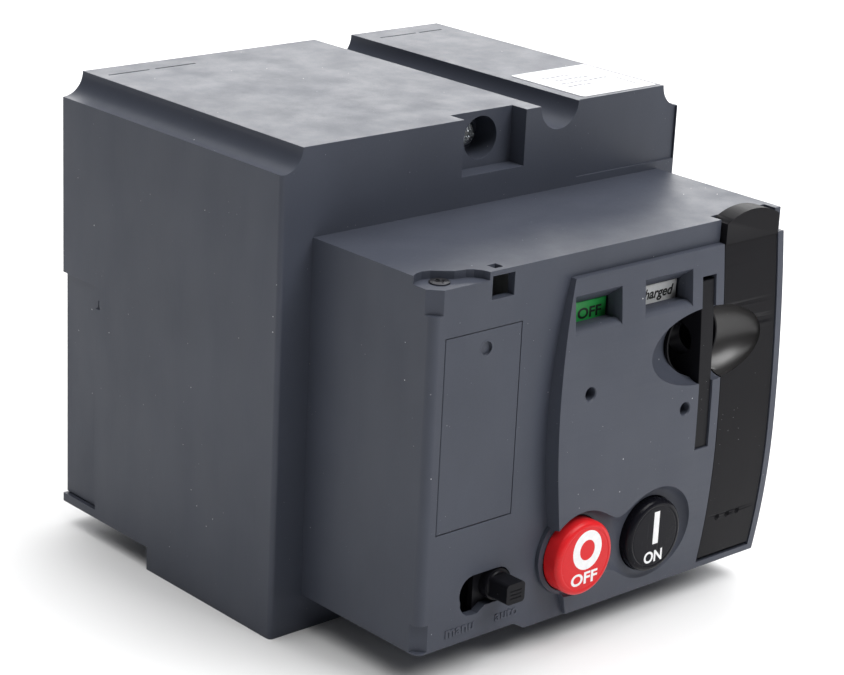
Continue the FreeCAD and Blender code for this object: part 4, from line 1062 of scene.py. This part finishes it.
@dataclass
class Lettering:
    """Words made from the plain built-in face, as thin raised ink."""

    words: str
    height: float
    bold: float = 0.0
    slant: float = 0.0

    def build(self, name: str, finish: "Finish", place: Sequence[float], body: str, slot: str,
              width: float | None = None, proud: float = 0.05) -> None:
        """Make the words as a piece that stands upright and faces the front.

        Args:
            name: The piece's name.
            finish: The ink.
            place: The words' middle, in the module's measures.
            body: The frame body that they move with.
            slot: The record's material slot; not used.
            width: The words' whole width, or None to keep the face's own.
            proud: Thickness of the ink.
        """
        thin = 0.01
        curve = bpy.data.curves.new(name, "FONT")
        curve.body = self.words
        curve.align_x, curve.align_y = "CENTER", "CENTER"
        curve.offset = self.bold / self.height * 0.5
        curve.shear = self.slant
        curve.extrude = thin
        curve.resolution_u = 6
        text = bpy.data.objects.new(name, curve)
        bpy.context.scene.collection.objects.link(text)
        graph = bpy.context.evaluated_depsgraph_get()
        mesh = bpy.data.meshes.new_from_object(text.evaluated_get(graph))
        bpy.data.objects.remove(text)
        xs = [v.co.x for v in mesh.vertices]
        ys = [v.co.y for v in mesh.vertices]
        grow = self.height / (max(ys) - min(ys))
        across = width / (max(xs) - min(xs)) if width else grow
        centre = Matrix.Translation((-(max(xs) + min(xs)) / 2, -(max(ys) + min(ys)) / 2, 0.0))
        size = Matrix.Diagonal((across, grow, proud / thin, 1.0))
        stand = Matrix.Rotation(math.radians(90.0), 4, "X")
        mesh.transform(Datum.of_frame().matrix() @ Matrix.Translation(place) @ stand @ size
                       @ centre)
        piece = bpy.data.objects.new(name, mesh)
        bpy.context.scene.collection.objects.link(piece)
        settle(piece, name, finish, body)


@dataclass
class ChargingLever:
    """The black hand lever: a crowned face, an arched cap, ribs behind and its hub."""

    left: float = 39.85
    right: float = 60.05
    low: float = 11.3
    high: float = 100.5
    skin: float = 2.2
    sunk: float = 0.2
    back: float = -42.5
    cap_y: Point2 = (-47.1, -41.7)
    cap_foot: float = 100.0
    cap_centre: float = 88.3
    cap_radius: float = 20.0
    cap_half_turn: float = 30.3
    pad_back: float = -39.5
    hub: Point2 = (-43.0, 17.0)
    hub_radius: float = 4.0
    pin_radius: float = 2.05
    horn_x: Point2 = (48.0, 51.0)
    horn_z: Point2 = (14.5, 21.5)
    link_pin: Point2 = (-33.0, 18.0)
    link_radius: float = 1.6
    link_x: Point2 = (46.6, 52.6)
    hollows: tuple[tuple[float, Point2], ...] = ((-46.4, (30.0, 60.5)), (-45.4, (85.7, 97.0)))
    hollow_back: float = -41.5
    dimple: Point2 = (44.6, 22.8)
    dimple_step: float = 4.0
    edge: float = 0.35

    def build(self) -> None:
        """Make the lever."""
        lever = Blank.prism(CROWN.profile(self.low, self.high, self.back, self.sunk), self.left,
                            self.right, Axis.X)
        lever.join(self.cap())
        overlap = self.back - 0.1
        lever.join(Blank.box((self.left, self.right), (overlap, self.pad_back), Fascia().pad_z))
        lever.join(Blank.prism(ring(self.hub, self.hub_radius, 48), self.left, self.right,
                               Axis.X))
        lever.join(Blank.box(self.horn_x, (overlap, WITHIN), self.horn_z))
        inner = (self.left + self.skin, self.right - self.skin)
        for front, heights in self.hollows:
            lever.cut(Blank.box(inner, (front, self.hollow_back), heights))
        lever.cut(Blank.prism(ring(self.hub, self.pin_radius, 32), 30.0, 70.0, Axis.X))
        lever.cut(Blank.prism(ring(self.link_pin, self.link_radius, 32), *self.link_x, Axis.X))
        lever.cut(Fascia().dish_tool())
        for step in range(3):
            lever.cut(self.dimple_tool(step))
        lever.soften(self.edge)
        piece = lever.finish("charging_lever_shape", LEVER, "charging_lever", "black_plastic",
                             ("charging_lever",), flat_strips=True)
        self.line_scoop(piece)

    def cap(self) -> Blank:
        """Return the arched cap at the lever's top.

        Returns:
            The cap, which overlaps the crowned face.
        """
        top = arc(((self.left + self.right) / 2, self.cap_centre), self.cap_radius,
                  90.0 + self.cap_half_turn, 90.0 - self.cap_half_turn, 24)
        foot = [(self.right, self.cap_foot), (self.left, self.cap_foot)]
        return Blank.prism(foot + top, *self.cap_y, Axis.Y)

    def dimple_tool(self, step: int) -> Blank:
        """Return the cutter of one of the three dimples at the lever's foot.

        Args:
            step: Which dimple, from the left.

        Returns:
            The cutter.
        """
        x, z = self.dimple
        lip = CROWN.surface(z, self.sunk)
        profile = [(1.5, lip - 0.6), (0.95, lip), (0.6, lip + 0.5), (0.05, lip + 0.8)]
        return Blank.turned(profile, (x + self.dimple_step * step, z), Axis.Y, 24)

    @staticmethod
    def line_scoop(piece: bpy.types.Object) -> None:
        """Give the faces of the finger scoop their own coarser finish.

        Args:
            piece: The lever.
        """
        piece.data.materials.append(SCOOP.material())
        shape = Fascia()
        inverse = Datum.of_frame().matrix().inverted()
        near = 0.03
        for face in piece.data.polygons:
            place = inverse @ face.center
            level = sum(((place[k] - shape.dish_centre[k]) / shape.dish_half[k]) ** 2
                        for k in range(3))
            if abs(level - 1.0) < near:
                face.material_index = 1


@dataclass
class PadlockTab:
    """The thin black tab that is pulled out to take a padlock's shackle."""

    left: float = 31.45
    right: float = 36.15
    low: float = 45.95
    high: float = 91.7
    back: float = -31.3
    sunk: float = 0.5
    hole: Point2 = (-41.0, 74.4)
    hole_radius: float = 4.2
    edge: float = 0.3

    def build(self) -> None:
        """Make the tab."""
        tab = Blank.prism(CROWN.profile(self.low, self.high, self.back, self.sunk), self.left,
                          self.right, Axis.X)
        tab.cut(Blank.prism(ring(self.hole, self.hole_radius, 64), 20.0, 45.0, Axis.X))
        tab.soften(self.edge)
        tab.finish("padlock_tab_shape", BLACK, "padlock_tab", "black_plastic", ("padlock_tab",))


@dataclass
class ModeSelector:
    """The slide for hand or motor drive, and the raised words below its slot."""

    x: float = -33.8
    z: float = 23.0
    key_x: float = 2.4
    key_z: float = 2.05
    key_y: Point2 = (-52.0, -44.0)
    plate: float = 6.2
    plate_y: Point2 = (-42.8, -41.1)
    rib_x: float = 1.9
    rib_low: float = 1.35
    edge: float = 0.22

    def build(self) -> None:
        """Make the slide and the words."""
        x, z = self.x, self.z
        hub = Blank.turned([(CORE, -45.6), (3.3, -45.6), (3.6, -45.3), (4.2, -45.3),
                            (4.2, -42.7), (CORE, -42.7)], (x, z), Axis.Y, 64)
        left, right, low, high = x - self.key_x, x + self.key_x, z - self.key_z, z + self.key_z
        corners = [(left, low, 0.3), (right, low, 0.3), (right, high, 0.3), (left, high, 0.3)]
        hub.join(Blank.prism(rounded(corners), *self.key_y, Axis.Y))
        hub.join(Blank.box((x - self.plate, x + self.plate), self.plate_y,
                           (z - self.plate, z + self.plate)))
        for rib in range(3):
            foot = z - self.rib_low + rib * 1.0
            hub.cut(Blank.box((x - self.rib_x, x + self.rib_x), (-52.5, -51.85),
                              (foot, foot + 0.35)))
        hub.soften(self.edge)
        hub.finish("mode_selector_shape", BLACK, "mode_selector", "black_plastic",
                   ("mode_selector",))
        Lettering("manu", 2.1, 0.1).build("manu_word", FASCIA, (-46.0, -CROWN.flat, 13.7), "body",
                                          "cover_plastic", width=9.6, proud=0.22)
        Lettering("auto", 2.5, 0.1).build("auto_word", FASCIA, (-30.1, -CROWN.flat, 13.9), "body",
                                          "cover_plastic", width=7.9, proud=0.22)


@dataclass
class Flags:
    """The two drums behind the windows, each with a flat for every state."""

    axis: Point2 = (-36.6, 88.6)
    radius: float = 5.38
    bore: float = 1.55
    thick: float = 0.04
    edge: float = 0.15

    def build(self) -> None:
        """Make the drums and print them."""
        self.drum("position_drum_shape", (-15.9, 2.5), GREEN_FILM, "position_drum", "flag_green")
        self.drum("charge_drum_shape", (8.9, 28.5), WHITE_FILM, "charge_drum", "flag_white")
        face = self.axis[0] - self.radius * math.cos(math.radians(30.0))
        Lettering("O OFF", 2.9, 0.16).build("flag_off_word", BLACK_INK, (-6.0, face, 88.2),
                                           "position_drum", "black_plastic", width=13.6,
                                           proud=self.thick)
        Lettering("charged", 3.6, 0.18, 0.25).build(
            "flag_charged_word", BLACK_INK, (21.1, face, 88.5), "charge_drum", "black_plastic",
            width=12.4, proud=self.thick)

    def drum(self, name: str, span: Point2, finish: "Finish", node: str, slot: str) -> None:
        """Make one drum: two flats at the front and a hub round the axle.

        Args:
            name: The piece's name.
            span: Its left and right end.
            finish: The film's finish.
            node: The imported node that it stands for.
            slot: The record's material slot.
        """
        y, z = self.axis
        flats = [(y - self.radius * math.cos(math.radians(a)),
                  z + self.radius * math.sin(math.radians(a))) for a in (-30, 30, 90)]
        outline = flats + [(y + 1.9, z + 4.2), (y + 2.2, z + 0.4), (y + 1.4, z - 1.6),
                           (y - 1.2, z - 2.4)]
        drum = Blank.prism(outline, *span, Axis.X)
        drum.cut(Blank.prism(ring(self.axis, self.bore, 32), -40.0, 50.0, Axis.X))
        drum.soften(self.edge)
        drum.finish(name, finish, node, slot, (node,))


@dataclass
class Fixings:
    """The screws that show, the roof's label and the hatch's ring."""

    def build(self) -> None:
        """Make every one of them."""
        self.fixing_screw()
        self.cover_screw()
        self.label()
        self.hatch_ring()

    def fixing_screw(self) -> None:
        """Make the long screw: a pan head with a cross recess and a threaded tip."""
        x, z, front, seat = 0.0, 122.4, 10.5, 13.5
        shank, root, start, pitch, end = 2.5, 2.05, 60.0, 0.8, 94.0
        profile = [(CORE, front), (2.0, front + 0.03), (2.9, front + 0.3), (3.5, front + 0.95),
                   (3.8, front + 1.9), (3.8, seat - 0.1), (3.7, seat), (shank, seat),
                   (shank, start)]
        for turn in range(int((end - 1.0 - start) / pitch)):
            along = start + turn * pitch
            profile += [(shank, along + 0.1), (root, along + 0.4), (shank, along + 0.7)]
        profile += [(1.9, end), (CORE, end)]
        screw = Blank.turned(profile, (x, z), Axis.Y, 64)
        twist = 18
        for angle, reach, half, depth in ((0, 2.6, 0.5, 1.5), (90, 2.6, 0.5, 1.5),
                                          (45, 1.5, 0.3, 0.7), (135, 1.5, 0.3, 0.7)):
            slot = Blank.box((-reach, reach), (front - 1.0, front + depth), (-half, half))
            slot.item.data.transform(Matrix.Translation((x, 0.0, z)) @ Matrix.Rotation(
                math.radians(angle + twist), 4, "Y"))
            screw.cut(slot)
        screw.finish("fixing_screw_shape", ZINC, "body", "zinc_steel", ("fixing_screw",))

    def cover_screw(self) -> None:
        """Make the blackened screw in the cover's corner, with its star recess."""
        x, y, floor = -53.6, -39.8, 104.3
        profile = [(CORE, floor), (2.6, floor), (2.6, floor + 0.3), (2.3, floor + 0.5),
                   (CORE, floor + 0.5)]
        screw = Blank.turned(profile, (x, y), Axis.Z, 48)
        point, notch, lean = 1.7, 1.0, 0.3
        star = []
        for step in range(12):
            reach = notch if step % 2 else point
            angle = math.pi * step / 6 + lean
            star.append((x + reach * math.cos(angle), y + reach * math.sin(angle)))
        screw.cut(Blank.prism(star, floor + 0.08, floor + 2.0, Axis.Z))
        screw.soften(0.08)
        screw.finish("cover_screw_shape", BLACKED, "body", "zinc_steel", ("cover_screw",))

    def label(self) -> None:
        """Make the roof's white label and its plain grey lines."""
        x, y, z, side = 34.2, 2.3, 129.7, 28.2
        corner, thick, ink = 0.8, 0.12, (0.11, 0.15)
        film = Blank.prism(rounded([(x, y, corner), (x + side, y, corner),
                                    (x + side, y + side, corner), (x, y + side, corner)]),
                           z, z + thick, Axis.Z)
        # the label's white film is darkened here as painted shade for the brightly lit roof
        film.finish("label_film_painted_shade", LABEL_FILM_SHADED, "body", "label_white", ("blank_label",))
        printed = (z + ink[0], z + ink[1])
        bars = []
        for start, length, along in ((4.6, 9.0, 22.6), (6.2, 12.0, 18.9), (5.0, 17.0, 15.4),
                                     (4.6, 8.0, 12.2)):
            step = start
            while step < start + length:
                dash = 0.9 + 0.7 * ((step * 7.3 + along) % 1.0)
                bars.append(Blank.box((x + step, x + step + dash), (along, along + 0.95),
                                      printed))
                step += dash + 0.55
        bars += [Blank.box((x + 24.0, x + 24.7), (along, along + 0.8), printed)
                 for along in (6.5, 7.8, 9.1, 10.4, 11.7, 13.0)]
        join_pieces(bars).finish("label_lines", GREY_INK, "body", "black_plastic")

    def hatch_ring(self) -> None:
        """Make the small raised ring that marks the hatch's punch-out."""
        x, z, front = -42.1, 87.2, -CROWN.flat
        profile = [(1.75, front + 0.3), (1.75, front - 0.05), (2.15, front - 0.08),
                   (2.35, front + 0.02), (2.35, front + 0.3)]
        loops = [[Axis.Y.point(along, u, v) for u, v in ring((x, z), radius, 64)]
                 for radius, along in profile]
        Blank(loops, closed_ends=False).finish("hatch_ring", SHELL, "body", "cover_plastic")


def join_pieces(blanks: Sequence[Blank]) -> Blank:
    """Put separate blanks into one mesh, without working on their shapes.

    Args:
        blanks: The blanks, of which the first is kept.

    Returns:
        The first blank, which holds them all.
    """
    first = blanks[0]
    work = bmesh.new()
    for blank in blanks:
        work.from_mesh(blank.item.data)
    work.to_mesh(first.item.data)
    work.free()
    for blank in blanks[1:]:
        bpy.data.objects.remove(blank.item)
    return first


# ------------------------------------------------------------------ studio

@dataclass
class Studio:
    """A pale floor, a plain surround and soft lamps about the module."""

    eye: Point3 = (-0.43056, -0.54304, 0.21556)
    aim: Point3 = (-0.00212, -0.07257, -0.00188)
    roll: float = 2.76
    lens: float = 105.3
    surround: float = 0.12
    floor_half: float = 6.0
    floor_white: float = 0.93

    def build(self) -> None:
        """Make the camera, the floor, the surround and the lamps."""
        self.camera()
        self.floor()
        self.world()
        self.lamp("overhead", (0.1, 0.15, 1.7), (0.05, 0.1, 0.0), (2.4, 2.4), 46.0)
        self.lamp("back_card", (1.0, 1.2, 0.62), (0.0, 0.0, 0.05), (1.9, 0.7), 20.0)
        self.lamp("front_fill", (0.45, -1.0, 1.15), (0.0, -0.05, 0.0), (0.8, 0.8), 15.0)
        LOG.info("studio ready")

    def camera(self) -> None:
        """Make the camera at its place, turned by its roll."""
        data = bpy.data.cameras.new("camera")
        data.lens = self.lens
        data.sensor_width = 36.0
        data.clip_start = 0.01
        item = bpy.data.objects.new("camera", data)
        bpy.context.scene.collection.objects.link(item)
        back = (Vector(self.eye) - Vector(self.aim)).normalized()
        right = Vector((0, 0, 1)).cross(back).normalized()
        up = back.cross(right)
        turn = math.radians(self.roll)
        turned_right = right * math.cos(turn) + up * math.sin(turn)
        turned_up = up * math.cos(turn) - right * math.sin(turn)
        axes = Matrix((turned_right, turned_up, back)).transposed()
        item.matrix_world = Matrix.Translation(self.eye) @ axes.to_4x4()
        bpy.context.scene.camera = item

    def floor(self) -> None:
        """Make the floor under the base."""
        mesh = bpy.data.meshes.new("floor")
        base, half = Datum.of_frame().base, self.floor_half
        corners = [(-half, -half, base), (half, -half, base), (half, half, base),
                   (-half, half, base)]
        mesh.from_pydata(corners, [], [(0, 1, 2, 3)])
        item = bpy.data.objects.new("floor", mesh)
        bpy.context.scene.collection.objects.link(item)
        graph = Graph("floor_paper")
        graph.shader.inputs["Base Color"].default_value = (*[self.floor_white] * 3, 1.0)
        graph.shader.inputs["Roughness"].default_value = 0.9
        mesh.materials.append(graph.material)

    def world(self) -> None:
        """Make the plain surround."""
        world = bpy.data.worlds.new("surround")
        world.use_nodes = True
        shade = world.node_tree.nodes["Background"]
        shade.inputs["Color"].default_value = (1.0, 1.0, 1.0, 1.0)
        shade.inputs["Strength"].default_value = self.surround
        bpy.context.scene.world = world
        bpy.context.scene.view_settings.view_transform = "Standard"

    def lamp(self, name: str, place: Sequence[float], aim: Sequence[float],
             size: Point2, power: float) -> None:
        """Make one soft rectangular lamp.

        Args:
            name: The lamp's name.
            place: Where it hangs, in metres.
            aim: The point that it looks at.
            size: Its two sides.
            power: Its power in watts.
        """
        data = bpy.data.lights.new(name, "AREA")
        data.shape = "RECTANGLE"
        data.size, data.size_y = size
        data.energy = power
        item = bpy.data.objects.new(name, data)
        bpy.context.scene.collection.objects.link(item)
        item.location = place
        look = Vector(aim) - Vector(place)
        item.rotation_mode = "QUATERNION"
        item.rotation_quaternion = look.to_track_quat("-Z", "Y")


def main() -> None:
    """Build the looks in order."""
    logging.basicConfig(level=logging.INFO, format="%(message)s")
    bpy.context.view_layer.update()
    Studio().build()
    dress_nodes()
    for part in (Fascia(), PushButtons(), ChargingLever(), PadlockTab(), ModeSelector(), Flags(),
                 Fixings()):
        part.build()


if __name__ == "__main__":
    main()
